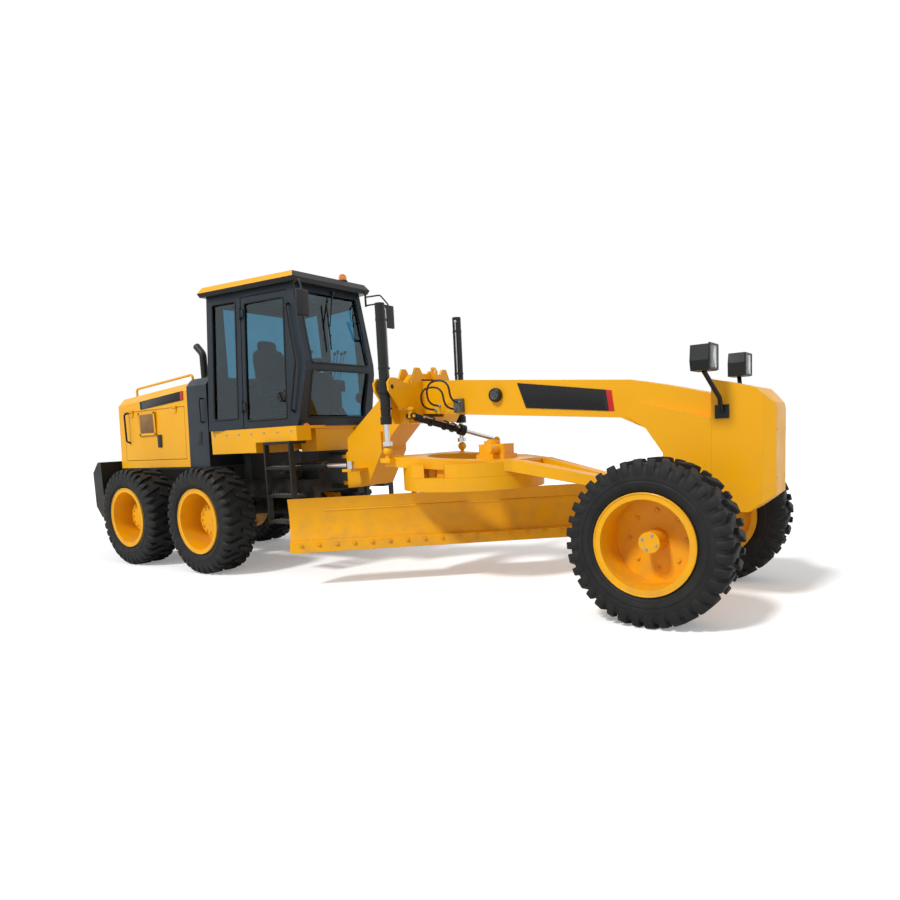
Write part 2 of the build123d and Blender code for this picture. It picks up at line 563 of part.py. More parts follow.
def shift_ram():
    """Centre-shift cylinder from the saddle down to the drawbar, with its yoke on an upright pin."""
    ax, ay, az = SHIFT_A
    level = (SHIFT_B[0] - ax, SHIFT_B[1] - ay)
    across = math.hypot(*level)
    px, py = level[1] / across, -level[0] / across
    tube, bar = ram(SHIFT_A, SHIFT_B, 620, 36, 20, 303, heel=52, toe=46)
    yoke = Pos(ax, ay, az) * Cylinder(32, 40) + Pos(ax, ay, az + 37.5) * Cylinder(30, 39)
    yoke += rod((ax - px * 60, ay - py * 60, az), (ax + px * 60, ay + py * 60, az), 16)
    yoke += rod((ax, ay, az + 30), (ax, ay, az + 91), 20)
    for side in (-1, 1):
        ear_a = (ax + side * px * 38, ay + side * py * 38, az)
        ear_b = (ax + side * px * 58, ay + side * py * 58, az)
        tube += rod(ear_a, ear_b, 30)
    yoke_pin = rod((ax - px * 70, ay - py * 70, az), (ax + px * 70, ay + py * 70, az), 16 + RUN_GAP)
    d = (Vector(*SHIFT_B) - Vector(*SHIFT_A)).normalized()
    fork = rod(Vector(ax + px * 48, ay + py * 48, az), Vector(ax + px * 48, ay + py * 48, az) + d * 70, 10)
    fork += rod(Vector(ax - px * 48, ay - py * 48, az), Vector(ax - px * 48, ay - py * 48, az) + d * 70,
                10)
    foot = Vector(*SHIFT_A) + d * 68
    plate = rod((foot.X - px * 58, foot.Y - py * 58, foot.Z), (foot.X + px * 58, foot.Y + py * 58,
                                                               foot.Z), 22)
    return yoke, tube + fork + plate - yoke_pin, bar


# ---- rear frame -----------------------------------------------------------------------------

def rear_frame():
    """Two rails with cross members, the hood's deck, the cab's mounts and the hinge tower."""
    front_x, rear_x = HINGE_X - 220, REAR_END_X + 225
    frame = Part()
    for side in (-1, 1):
        frame += pad(rear_x, front_x, *sorted((side * RAIL_Y0, side * RAIL_Y1)), RAIL_Z0, RAIL_Z1)
        frame += pad(HOOD_X0, TANK_X1, *sorted((side * 560, side * 690)), HOOD_Z0 - 30, HOOD_Z0)
        for x in (HOOD_X0 + 60, TANDEM_X, TANK_X1 - 140):
            frame += pad(x, x + 80, *sorted((side * (RAIL_Y0 + 20), side * 690)), RAIL_Z1 - 60,
                         HOOD_Z0 - 30)
        bracket = pad(HINGE_X - 560, HINGE_X - 470, *sorted((side * 335, side * 570)), 1088, 1113)
        bracket += pad(HINGE_X - 560, HINGE_X - 470, *sorted((side * 335, side * RAIL_Y1)), RAIL_Z1 - 10,
                       1100)
        frame += bracket + rod((HINGE_X - 500, side * 520, 1110), (HINGE_X - 500, side * 520, 1215), 20)
    for x in (rear_x, TANDEM_X - 700, TANDEM_X + 700):
        frame += pad(x, x + 120, -RAIL_Y0, RAIL_Y0, RAIL_Z0 + 20, RAIL_Z1 - 20)
    frame += pad(front_x - 280, front_x, -300, 300, 860, 1320)
    frame += pad(CAB_X0 + 60, CAB_X0 + 180, -RAIL_Y1, RAIL_Y1, RAIL_Z1 - 40, 1320)
    for z0 in (HINGE_Z0 - 15.5, HINGE_Z1 - 24.5):
        frame += pad(HINGE_X - 230, HINGE_X, -HINGE_LUG_R, HINGE_LUG_R, z0, z0 + HINGE_PLATE_T)
        frame += Pos(HINGE_X, 0, z0 + HINGE_PLATE_T / 2) * Cylinder(HINGE_LUG_R, HINGE_PLATE_T)
    frame += rod((HINGE_X, 0, HINGE_Z0 - 15.5), (HINGE_X, 0, HINGE_Z1 + 15.5), HINGE_PIN_R)
    return frame


def tandem_drive():
    """Axle housing across the frame and a drive case along each side."""
    axle = rod((TANDEM_X, -CASE_Y0, TYRE_R + 30), (TANDEM_X, CASE_Y0, TYRE_R + 30), 130)
    axle += Pos(TANDEM_X, 0, TYRE_R + 30) * Sphere(210)
    axle += pad(TANDEM_X - 150, TANDEM_X + 150, -RAIL_Y1, RAIL_Y1, TYRE_R + 80, RAIL_Z0)
    reach = TANDEM_SPACING / 2
    for side in (-1, 1):
        outline = [(TANDEM_X - reach - 150, 500), (TANDEM_X - reach - 60, 430), (TANDEM_X, 480),
                   (TANDEM_X + reach + 60, 430), (TANDEM_X + reach + 150, 500), (TANDEM_X + reach + 150,
                                                                                 700),
                   (TANDEM_X + reach + 60, 770), (TANDEM_X, 800), (TANDEM_X - reach - 60, 770),
                   (TANDEM_X - reach - 150, 700)]
        axle += side_plate(outline, *sorted((side * CASE_Y0, side * CASE_Y1)))
        for x in (TANDEM_X - reach, TANDEM_X + reach):
            axle += rod((x, side * CASE_Y1, TYRE_R),
                        (x, side * (REAR_WHEEL_Y - REAR_DISC_IN - DISC_T - 10), TYRE_R),
                        HUB_R)
    return axle


def rear_plate():
    """Thick bolted tail plate with a tow jaw and its pin bore."""
    end = REAR_END_X
    outline = [(end + 225, 560), (end + 225, 1290), (end + 150, 1290), (end, 1150), (end, 690),
               (end + 130, 540)]
    plate = side_plate(outline, -900, 900)
    plate -= pad(end - 1, end + 140, -90, 90, 760, 1300)
    for z in (860, 950):
        plate += pad(end + 15, end + 150, -60, 60, z, z + 30)
    return plate - Pos(end + 75, 0, 920) * Cylinder(TOW_BORE_R, 200)


def hood_section(x, top, shrink):
    """Hood cross-section at x, drawn in by the wall."""
    z0 = HOOD_Z0 - 1 if shrink else HOOD_Z0
    points = [(-690, z0), (690, z0), (660, top - 95), (570, top), (-570, top), (-660, top - 95)]
    inner = [(math.copysign(abs(y) - shrink, y), z if z == z0 else z - shrink) for y, z in points]
    return make_face(Polyline([(x, y, z) for y, z in inner], close=True))


def hood_half(z):
    """Half-width of the hood's side wall at a height."""
    return 690 - 30 * (z - HOOD_Z0) / (HOOD_TOP_FRONT - 145 - HOOD_Z0)


def hood_body(shrink):
    """Hood envelope, its top falling towards the back."""
    return loft([hood_section(HOOD_X0 + shrink, HOOD_TOP_REAR, shrink),
                 hood_section(HOOD_X1 - shrink, HOOD_TOP_FRONT, shrink)])


def hood_rail_left():
    """Handrail along the hood's edge, on three feet."""
    y, z = 520, HOOD_TOP_REAR + 120
    lift = HOOD_TOP_FRONT - HOOD_TOP_REAR
    rail = pipe([(HOOD_X0 + 250, y, HOOD_TOP_REAR), (HOOD_X0 + 250, y, z),
                 (HOOD_X1 - 60, y, z + lift * 0.8),
                 (HOOD_X1 - 60, y, HOOD_TOP_REAR)], 15, 45)
    return rail - hood_body(0)


def rear_grille():
    """Slatted grille in the back of the hood."""
    x0, x1 = HOOD_X0 + 4, HOOD_X0 + HOOD_T - 4
    z0, z1 = 1300, HOOD_TOP_REAR - 180
    grille = pad(x0, x1, -480, 480, z0, z1) - pad(x0 - 5, x1 + 5, -450, 450, z0 + 30, z1 - 30)
    count = 14
    pitch = (z1 - z0 - 60) / count
    slat = pad(-9, 9, -451, 451, -2, 2)
    grille += [Pos((x0 + x1) / 2, 0, z0 + 30 + pitch * (i + 0.5)) * (Rot(0, 35,
                                                                         0) * slat) for i in range(count)]
    return grille


def engine_hood():
    """Folded sheet hood, open below, with side openings for its doors and a rear opening for the grille."""
    shell = hood_body(0) - hood_body(HOOD_T)
    for side in (-1, 1):
        shell -= pad(DOOR_X0, DOOR_X1, *sorted((side * 500, side * 800)), DOOR_Z0, DOOR_Z1)
        for x in HINGE_XS:
            for x0 in (x - 45, x + 33):
                shell += pad(x0, x0 + 12, *sorted((side * 640, side * 690)), DOOR_Z1 + 1, DOOR_Z1 + 14)
                shell += pad(x0, x0 + 12, *sorted((side * 669, side * 690)), DOOR_Z1 - 12, DOOR_Z1 + 14)
            shell += rod((x - 45, side * HOOD_PIN_Y, HOOD_PIN_Z), (x + 45, side * HOOD_PIN_Y, HOOD_PIN_Z),
                         6)
    shell -= pad(HOOD_X0 - 5, HOOD_X0 + 60, -480, 480, 1300, HOOD_TOP_REAR - 180)
    rail = hood_rail_left()
    return shell + rail + mirrored(rail) + rear_grille()


def hood_door_left():
    """Side door of the hood with a louvred window, hinged along its top edge."""
    slab = hood_body(0) - hood_body(HOOD_T)
    slab &= pad(DOOR_X0 + DOOR_GAP, DOOR_X1 - DOOR_GAP, 500, 800, DOOR_Z0 + DOOR_GAP, DOOR_Z1 - DOOR_GAP)
    x0, x1, z0, z1 = DOOR_X0 + 410, DOOR_X0 + 740, DOOR_Z0 + 330, DOOR_Z1 - 35
    slab -= pad(x0, x1, 500, 800, z0, z1)
    count = 9
    pitch = (z1 - z0) / count
    slat = pad(x0 - 1, x1 + 1, -11, 11, -2, 2)
    for i in range(count):
        z = z0 + pitch * (i + 0.5)
        slab += Pos(0, hood_half(z) - HOOD_T / 2, z) * (Rot(-35, 0, 0) * slat)
    for x in HINGE_XS:
        barrel = rod((x - 32, HOOD_PIN_Y, HOOD_PIN_Z), (x + 32, HOOD_PIN_Y, HOOD_PIN_Z), 11)
        leaf = pad(x - 32, x + 32, HOOD_PIN_Y - 20, HOOD_PIN_Y - 2, DOOR_Z1 - 70, HOOD_PIN_Z)
        slab += barrel + leaf
        slab -= rod((x - 40, HOOD_PIN_Y, HOOD_PIN_Z), (x + 40, HOOD_PIN_Y, HOOD_PIN_Z), 6 + RUN_GAP)
    return slab


def engine_block():
    """Engine and transmission as one plain block."""
    return pad(HOOD_X0 + 260, HOOD_X1 - 150, -290, 290, RAIL_Z1 - 20, 1750)


def tank_housing():
    """Hydraulic and fuel tank housing between hood and cab."""
    top = HOOD_TOP_FRONT + 30
    outline = [(-700, HOOD_Z0), (700, HOOD_Z0), (665, top - 90), (590, top), (-590, top), (-665, top - 90)]
    body = cross_plate(outline, HOOD_X1 + 8, TANK_X1)
    body = chamfer(body.edges().filter_by(Axis.Y).sort_by(Axis.Z)[-2:], 30)
    grip = pipe([(TANK_X1 - 90, 660, 1720), (TANK_X1 - 90, 715, 1720), (TANK_X1 - 90, 715, 2000),
                 (TANK_X1 - 90, 650, 2000)], 10, 20)
    grip = grip - body
    return body + grip + mirrored(grip)


def exhaust():
    """Upright exhaust pipe with a bent outlet."""
    x = HOOD_X1 - 200
    stack = pipe([(x, -250, HOOD_TOP_REAR), (x, -250, 2600), (x - 120, -250, 2710)], 45, 90)
    return stack - hood_body(0)


# ---- cab ------------------------------------------------------------------------------------
# cab stations: (x, half-width at the floor, half-width at the roof)
CAB_REAR_HALF = (805, 695)
CAB_FRONT_HALF = (575, 505)
KINK_X = CAB_X1 + 100
KINK_Z = 2230
B_POST_X = CAB_X0 + 480
DOOR_HINGE_X = B_POST_X + 33
HINGE_OUT = 14
CAB_HINGES = (1850, 2870)


def half_at(x, z):
    """Cab half-width at a place along it and a height."""
    t = (x - CAB_X0) / (CAB_X1 - CAB_X0)
    h = (z - CAB_Z0) / (CAB_Z1 - CAB_Z0)
    rear = CAB_REAR_HALF[0] + (CAB_REAR_HALF[1] - CAB_REAR_HALF[0]) * h
    front = CAB_FRONT_HALF[0] + (CAB_FRONT_HALF[1] - CAB_FRONT_HALF[0]) * h
    return rear + (front - rear) * t


def cab_hull(shrink, z0, z1):
    """Closed cab body between two heights: a tapered block with a kinked front, drawn in by shrink."""
    x0, x1 = CAB_X0 + shrink, CAB_X1 - shrink
    bottom = [(x0, -half_at(x0, z0) + shrink), (x1 + 90, -half_at(x1 + 90, z0) + shrink),
              (x1 + 90, half_at(x1 + 90, z0) - shrink), (x0, half_at(x0, z0) - shrink)]
    top = [(x0, -half_at(x0, z1) + shrink), (x1 + 90, -half_at(x1 + 90, z1) + shrink),
           (x1 + 90, half_at(x1 + 90, z1) - shrink), (x0, half_at(x0, z1) - shrink)]
    faces = [make_face(Polyline([(x, y, z) for x, y in pts], close=True)) for pts,
             z in ((bottom, z0), (top, z1))]
    body = loft(faces)
    front = side_plate([(CAB_X0 - 10, z0 - 5), (CAB_X1 - 40 - shrink, z0 - 5), (KINK_X - shrink, KINK_Z),
                        (CAB_X1 - 60 - shrink, z1 + 5), (CAB_X0 - 10, z1 + 5)], -900, 900)
    return body & front


def hinge_axis(side, z):
    """The ends of a door hinge's pin, on the leaning line beside the centre post."""
    x = DOOR_HINGE_X
    return [(x, side * (half_at(x, end) + HINGE_OUT), end) for end in (z - 60, z + 60)]


def cab_frame():
    """Posts, sills and header of the cab, with its window and door openings cut."""
    hull = cab_hull(0, CAB_Z0, CAB_Z1) - cab_hull(POST, CAB_Z0 - 5, CAB_Z1 + 5)
    side_cuts = [(CAB_X0 + POST + 20, B_POST_X - 40, CAB_Z0 + 120, CAB_Z1 - 90),
                 (B_POST_X + 30, CAB_X1 - 130, CAB_Z0 - 10, CAB_Z1 - 60)]
    for x0, x1, z0, z1 in side_cuts:
        hull -= pad(x0, x1, -900, 900, z0, z1)
    hull -= pad(CAB_X0 - 50, CAB_X0 + 200, -520, 520, CAB_Z0 + 520, CAB_Z1 - 90)
    hull -= pad(CAB_X1 - 300, CAB_X1 + 300, -440, 440, CAB_Z0 + 90, KINK_Z - 35)
    hull -= pad(CAB_X1 - 300, CAB_X1 + 300, -440, 440, KINK_Z + 35, CAB_Z1 - 60)
    for side in (-1, 1):
        for z in CAB_HINGES:
            pin = hinge_axis(side, z)
            hull += rod(*pin, 7)
            for end in pin:
                y0, y1 = sorted((end[1] - side * 30, end[1] + side * 9))
                hull += pad(DOOR_HINGE_X - 9, DOOR_HINGE_X + 2, y0, y1, end[2] - 5, end[2] + 5)
    return hull


def cab_glass():
    """Fixed panes: windscreen above and below its bar, rear window and two rear side panes."""
    layer = cab_hull(20, CAB_Z0 + 80, CAB_Z1 - 40) - cab_hull(20 + GLASS_T, CAB_Z0 + 70, CAB_Z1 - 30)
    g = SEAT_GAP
    front = (CAB_X1 - 250, CAB_X1 + 300, -440 + g, 440 - g)
    low = layer & pad(*front, CAB_Z0 + 90 + g, KINK_Z - 35 - g)
    high = layer & pad(*front, KINK_Z + 35 + g, CAB_Z1 - 60 - g)
    back = layer & pad(CAB_X0 - 50, CAB_X0 + 60, -520 + g, 520 - g, CAB_Z0 + 520 + g, CAB_Z1 - 90 - g)
    sides = layer & pad(CAB_X0 + POST + 20 + g, B_POST_X - 40 - g, -900, 900, CAB_Z0 + 120 + g,
                        CAB_Z1 - 90 - g)
    return Compound([*low.solids(), *high.solids(), *back.solids(), *sides.solids()])


def door_blank_left(shrink, z0, z1, wall, inset):
    """The slab of the left door's wall between its edges."""
    x0, x1 = B_POST_X + 36 + shrink, CAB_X1 - 136 - shrink
    skin = cab_hull(inset, CAB_Z0 - 5, CAB_Z1 + 5) - cab_hull(inset + wall, CAB_Z0 - 10, CAB_Z1 + 10)
    return skin & pad(x0, x1, 300, 900, z0, z1)


def cab_door_left():
    """Framed door on two leaning hinges at the centre post."""
    frame = door_blank_left(0, CAB_Z0 + 4, CAB_Z1 - 66, 40, 4)
    frame -= pad(B_POST_X + 36 + 45, CAB_X1 - 136 - 45, 300, 900, CAB_Z0 + 90, CAB_Z1 - 130)
    for z in CAB_HINGES:
        low, high = (Vector(*end) for end in hinge_axis(1, z))
        a, b = low + (high - low) * 0.06, low + (high - low) * 0.94
        frame += rod(a, b, 13)
        frame += pad(DOOR_HINGE_X + 4, DOOR_HINGE_X + 55, low.Y - 24, low.Y - 6, z - 40, z + 40)
        frame -= rod(low, high, 7 + RUN_GAP)
    return frame


def door_glass_left():
    """Pane of the left door."""
    return door_blank_left(45 + SEAT_GAP, CAB_Z0 + 90 + SEAT_GAP, CAB_Z1 - 130 - SEAT_GAP, GLASS_T, 18)


def cab_roof():
    """Flat roof cap with a chamfered rim, over all four sides."""
    z0, z1 = CAB_Z1, CAB_Z1 + 110
    def outline(grow, z):
        x0, x1 = CAB_X0 - 50 - grow, CAB_X1 + 45 + grow
        rear, front = 780 + grow, 590 + grow
        return make_face(Polyline([(x0, -rear, z), (x1, -front, z), (x1, front, z), (x0, rear, z)],
                                  close=True))
    skirt = loft([outline(-20, z0), outline(0, z0 + 45)])
    crown = loft([outline(0, z0 + 45), outline(-45, z1)])
    return skirt + crown


def cab_platform():
    """Floor and skirt under the cab, cut away over the steps and open for the gooseneck to swing."""
    x0, x1, z0 = CAB_X0 - 30, HINGE_X - 20, 1335
    block = pad(x0, x1, -760, 760, z0, CAB_Z0)
    block -= pad(x0 + 30, x1 + 5, -560, 560, z0 - 5, CAB_Z0 - FLOOR_T)
    block -= pad(CAB_X1 - 60, x1 + 5, -350, 350, z0 - 5, CAB_Z0 + 5)
    for side in (-1, 1):
        block -= pad(CAB_X1 - 540, x1 + 5, *sorted((side * 500, side * 800)), z0 - 5, z0 + 110)
    block += pad(CAB_X0 + 60, CAB_X0 + 180, -300, 300, 1320, CAB_Z0 - FLOOR_T)
    return block + pad(HINGE_X - 480, HINGE_X - 230, -300, 300, 1320, CAB_Z0 - FLOOR_T)


def seat():
    """Operator's seat on its pedestal."""
    x = CAB_X0 + 420
    base = pad(x - 180, x + 180, -180, 180, CAB_Z0, CAB_Z0 + 350)
    cushion = pad(x - 250, x + 250, -250, 250, CAB_Z0 + 350, CAB_Z0 + 480)
    back = side_plate([(x - 250, CAB_Z0 + 480), (x - 130, CAB_Z0 + 480), (x - 220, CAB_Z0 + 1050),
                       (x - 320, CAB_Z0 + 1050)], -240, 240)
    return base + cushion + back


def controls():
    """Console, steering column and wheel."""
    x = CAB_X1 - 330
    column = side_plate([(x - 60, CAB_Z0), (x + 120, CAB_Z0), (x + 20, CAB_Z0 + 620),
                         (x - 80, CAB_Z0 + 620)],
                        -120, 120)
    wheel = Pos(x - 80, 0, CAB_Z0 + 680) * (Rot(0, -25, 0) * (Cylinder(190, 25) - Cylinder(160, 25)
                                                              + Box(340, 40, 20) + Cylinder(40, 140)))
    return column + wheel


def steps_left():
    """Ladder up to the cab door."""
    x0, x1 = HINGE_X - 525, HINGE_X - 125
    y = 800
    ladder = Part()
    for x in (x0, x1):
        ladder += pad(x, x + 25, y - 60, y, 560, 1445)
    for z in (570, 850, 1150):
        ladder += pad(x0, x1 + 25, y - 170, y, z, z + 30)
    return ladder + pad(x0, x1 + 25, 570, y, 1415, 1445)


def mirror_arm_left():
    """Mirror head on two bars from a stub under the roof's front corner."""
    x, y = CAB_X1 + 12, 545
    stub = rod((x, y, CAB_Z1), (x, y, 2970), 12)
    head = pad(CAB_X1 + 235, CAB_X1 + 275, 580, 750, 2700, 2970)
    bars = rod((x, y, 3080), (CAB_X1 + 255, 665, 2960), 12)
    bars += rod((x, y, 2985), (CAB_X1 + 255, 665, 2850), 12)
    return stub + head + bars


def beacon():
    """Warning beacon on the roof."""
    x = CAB_X1 - 50
    return Pos(x, 250, CAB_Z1 + 110 + 45) * Cylinder(55, 90)


def both_sides(name, left):
    save(f"{name}_left", left)
    save(f"{name}_right", mirrored(left))


def main():
    os.makedirs("parts", exist_ok=True)
    wheel_set()
    save("front_axle", front_axle())
    both_sides("knuckle", knuckle_left())
    save("tie_rod", tie_rod())
    save("gooseneck", gooseneck())
    save("nose", nose())
    lamp = headlight_left()
    save("headlights", Compound([lamp, mirrored(lamp)]))
    save("saddle", saddle())
    save("draw_ball", draw_ball())
    save("drawbar", drawbar())
    cheek = drawbar_cheek_left()
    save("drawbar_clevis", Compound([cheek, mirrored(cheek)]))
    save("circle", at_blade(circle()))
    save("blade_carrier", at_blade(blade_carrier()))
    save("moldboard", at_blade(moldboard()))
    save("blade_rails", at_blade(blade_rails()))
    save("cutting_edge", Compound([at_blade(edge) for edge in cutting_edge()]))
    both_sides("lift_barrel", lift_barrel_left())
    both_sides("lift_rod", lift_rod_left())
    tube, bar = artic_ram_left()
    both_sides("artic_barrel", tube)
    both_sides("artic_rod", bar)
    yoke, tube, bar = shift_ram()
    save("shift_yoke", yoke)
    save("shift_barrel", tube)
    save("shift_rod", bar)
    save("rear_frame", rear_frame())
    save("tandem_drive", tandem_drive())
    save("rear_plate", rear_plate())
    save("engine_hood", engine_hood())
    both_sides("hood_door", hood_door_left())
    save("engine_block", engine_block())
    save("tank_housing", tank_housing())
    save("exhaust", exhaust())
    save("cab_frame", cab_frame())
    save("cab_glass", cab_glass())
    both_sides("cab_door", cab_door_left())
    both_sides("door_glass", door_glass_left())
    save("cab_roof", cab_roof())
    save("cab_platform", cab_platform())
    save("seat", seat())
    save("controls", controls())
    ladder = steps_left()
    save("steps", Compound([ladder, mirrored(ladder)]))
    arm = mirror_arm_left()
    save("roof_fittings", Compound([arm, mirrored(arm), beacon()]))


main()
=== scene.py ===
"""Motor grader: finishes for the CAD pieces, tyres, plates, lamps, seals, hoses and cab fittings. Metres."""
import json
import math

import bmesh
import bpy
from mathutils import Matrix, Vector


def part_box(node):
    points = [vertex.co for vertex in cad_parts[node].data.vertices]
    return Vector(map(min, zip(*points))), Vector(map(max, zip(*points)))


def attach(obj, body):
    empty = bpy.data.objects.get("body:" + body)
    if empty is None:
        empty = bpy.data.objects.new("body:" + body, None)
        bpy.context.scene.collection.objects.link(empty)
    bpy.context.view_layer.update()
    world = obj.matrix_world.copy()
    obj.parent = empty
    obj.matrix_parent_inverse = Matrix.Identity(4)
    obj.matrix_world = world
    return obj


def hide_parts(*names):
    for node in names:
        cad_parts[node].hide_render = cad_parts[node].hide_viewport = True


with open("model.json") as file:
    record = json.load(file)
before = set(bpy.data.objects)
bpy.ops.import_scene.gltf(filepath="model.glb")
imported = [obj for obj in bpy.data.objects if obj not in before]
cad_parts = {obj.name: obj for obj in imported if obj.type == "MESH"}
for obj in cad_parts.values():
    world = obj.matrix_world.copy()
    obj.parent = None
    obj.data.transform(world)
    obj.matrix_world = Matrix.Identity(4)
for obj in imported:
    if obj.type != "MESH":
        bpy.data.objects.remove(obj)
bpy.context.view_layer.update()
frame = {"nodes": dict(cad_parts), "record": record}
NODES = frame["nodes"]

HANDS = (("left", 1), ("right", -1))  # with the sign that Y has on each hand
EDGE_ANGLE = math.radians(35)  # edges sharper than this are rounded
CHEVRONS = 18  # bars round each side of a tread
BEAM_SIDE, HOOD_SIDE, DOOR_SIDE = 0.17, 0.6652, 0.6885  # half-widths of the faces that carry trim
BLADE_MIDDLE, BLADE_ANGLE = 1.455, math.radians(-49)
SEAT_LEAN = math.radians(-98)
HOSE_DIAMETER = 0.019
WHITE_FLOOR_LIFT = 0.22  # light added to the floor for the camera only
SKY_LIGHT = 0.5  # light from all round, against 1.0 as the eye sees it


# ---- helpers --------------------------------------------------------------------------------

def linear(code):
    """sRGB hex colour as the linear colour that a shader reads."""
    parts = [int(code[i:i + 2], 16) / 255 for i in (1, 3, 5)]
    return tuple(c / 12.92 if c <= 0.04045 else ((c + 0.055) / 1.055) ** 2.4 for c in parts) + (1.0,)


def add(tree, kind, inputs=None, **settings):
    """Adds a node with its settings; inputs maps a socket's name or number to a value or another socket."""
    made = tree.nodes.new(kind)
    for key, value in settings.items():
        setattr(made, key, value)
    for key, value in (inputs or {}).items():
        if isinstance(value, bpy.types.NodeSocket):
            tree.links.new(value, made.inputs[key])
        else:
            made.inputs[key].default_value = value
    return made


def blank(name):
    """New material with an empty tree, and the place on the object that its patterns read."""
    mat = bpy.data.materials.new(name)
    mat.use_nodes = True
    tree = mat.node_tree
    tree.nodes.clear()
    return mat, tree, add(tree, "ShaderNodeTexCoord").outputs["Object"]


def stand(name, bm):
    """Turns a bmesh into an object of the scene, with its points joined and its faces outward."""
    bmesh.ops.remove_doubles(bm, verts=bm.verts, dist=1e-5)
    bmesh.ops.recalc_face_normals(bm, faces=bm.faces)
    mesh = bpy.data.meshes.new(name)
    bm.to_mesh(mesh)
    bm.free()
    obj = bpy.data.objects.new(name, mesh)
    bpy.context.collection.objects.link(obj)
    return obj


def piece(name, body, mat, bm, bevel=0.0, smooth=35, segments=2):
    """Turns a bmesh into a finished piece that rides on a body."""
    obj = stand(name, bm)
    if bevel:
        mod = obj.modifiers.new("edge", "BEVEL")
        mod.width = bevel
        mod.segments = segments
        mod.limit_method = "ANGLE"
        mod.angle_limit = EDGE_ANGLE
        settle(obj)
    obj.data.materials.clear()
    obj.data.materials.append(mat)
    obj.data.shade_smooth()
    obj.data.set_sharp_from_angle(angle=math.radians(smooth))
    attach(obj, body)
    return obj


def settle(obj):
    """Replaces the object's mesh by its evaluated one and drops its modifiers."""
    bpy.context.view_layer.update()
    graph = bpy.context.evaluated_depsgraph_get()
    made = bpy.data.meshes.new_from_object(obj.evaluated_get(graph), depsgraph=graph)
    obj.modifiers.clear()
    obj.data = made


def block(bm, low, high, turn=None):
    """Box between two corners, turned about its middle."""
    low, high = Vector(low), Vector(high)
    place = Matrix.Translation((low + high) / 2) @ (turn or Matrix()) @ Matrix.Diagonal((*(high - low), 1))
    bmesh.ops.create_cube(bm, size=1, matrix=place)


def bar(bm, start, end, radius, tip=None, sides=20):
    """Round bar or cone between two points, closed at both ends."""
    a, b = Vector(start), Vector(end)
    place = Matrix.Translation((a + b) / 2) @ (b - a).to_track_quat("Z", "Y").to_matrix().to_4x4()
    bmesh.ops.create_cone(bm, cap_ends=True, segments=sides, radius1=radius, matrix=place,
                          radius2=radius if tip is None else tip, depth=(b - a).length)


def lathe(bm, outline, origin, axis, sides=64):
    """Outline of (along, radius) points turned about an axis; the ends close where their radius is 0."""
    place = Matrix.Translation(origin) @ Vector(axis).to_track_quat("Z", "Y").to_matrix().to_4x4()
    rings = []
    for along, radius in outline:
        if radius < 1e-6:
            rings.append([bm.verts.new(place @ Vector((0, 0, along)))])
            continue
        rings.append([bm.verts.new(place @ Vector((radius * math.cos(t), radius * math.sin(t), along)))
                      for t in (2 * math.pi * i / sides for i in range(sides))])
    for one, two in zip(rings, rings[1:]):
        for i in range(sides):
            j = (i + 1) % sides
            corners = [one[i % len(one)], one[j % len(one)], two[j % len(two)], two[i % len(two)]]
            bm.faces.new(list(dict.fromkeys(corners)))


def slab(bm, outline, depth):
    """Flat outline of 3-D points given a thickness along a vector."""
    lower = [bm.verts.new(Vector(p)) for p in outline]
    upper = [bm.verts.new(Vector(p) + Vector(depth)) for p in outline]
    bm.faces.new(lower)
    bm.faces.new(list(reversed(upper)))
    for i in range(len(lower)):
        j = (i + 1) % len(lower)
        bm.faces.new([lower[i], upper[i], upper[j], lower[j]])


def tube(name, body, mat, points, radius, closed=False, bend=0.03):
    """Bent bar: straight runs that turn smoothly near each corner."""
    runs = []
    for i, p in enumerate(Vector(p) for p in points):
        if closed or 0 < i < len(points) - 1:
            before, after = Vector(points[i - 1]) - p, Vector(points[(i + 1) % len(points)]) - p
            runs.append(p + before.normalized() * min(bend, before.length * 0.45))
            runs.append(p)
            runs.append(p + after.normalized() * min(bend, after.length * 0.45))
        else:
            runs.append(p)
    obj = strand(name, runs, radius, closed)
    graph = bpy.context.evaluated_depsgraph_get()
    mesh = bpy.data.meshes.new_from_object(obj.evaluated_get(graph), depsgraph=graph)
    bpy.data.objects.remove(obj)
    bm = bmesh.new()
    bm.from_mesh(mesh)
    return piece(name, body, mat, bm, smooth=60)


def strand(name, points, radius, closed=False):
    """Round curve on a smooth line that the points steer."""
    curve = bpy.data.curves.new(name, "CURVE")
    curve.dimensions = "3D"
    curve.bevel_depth = radius
    curve.bevel_resolution = 3
    curve.use_fill_caps = not closed
    line = curve.splines.new("NURBS")
    line.points.add(len(points) - 1)
    for point, p in zip(line.points, points):
        point.co = (*p, 1)
    line.use_cyclic_u = closed
    line.order_u = 3
    line.use_endpoint_u = not closed
    line.resolution_u = 4
    obj = bpy.data.objects.new(name, curve)
    bpy.context.collection.objects.link(obj)
    bpy.context.view_layer.update()
    return obj


def feed(obj, tree, **values):
    """Puts a node tree on an object as a modifier, with its named inputs set."""
    mod = obj.modifiers.new(tree.name, "NODES")
    mod.node_group = tree
    for item in tree.interface.items_tree:
        if item.item_type == "SOCKET" and item.in_out == "INPUT" and item.name in values:
            mod[item.identifier] = values[item.name]


def geometry_tree(name, inputs):
    """New node tree with its input and output; inputs lists (name, socket kind)."""
    tree = bpy.data.node_groups.new(name, "GeometryNodeTree")
    for title, kind in [("Geometry", "NodeSocketGeometry")] + inputs:
        tree.interface.new_socket(title, in_out="INPUT", socket_type=kind)
    tree.interface.new_socket("Geometry", in_out="OUTPUT", socket_type="NodeSocketGeometry")
    return tree, add(tree, "NodeGroupInput").outputs


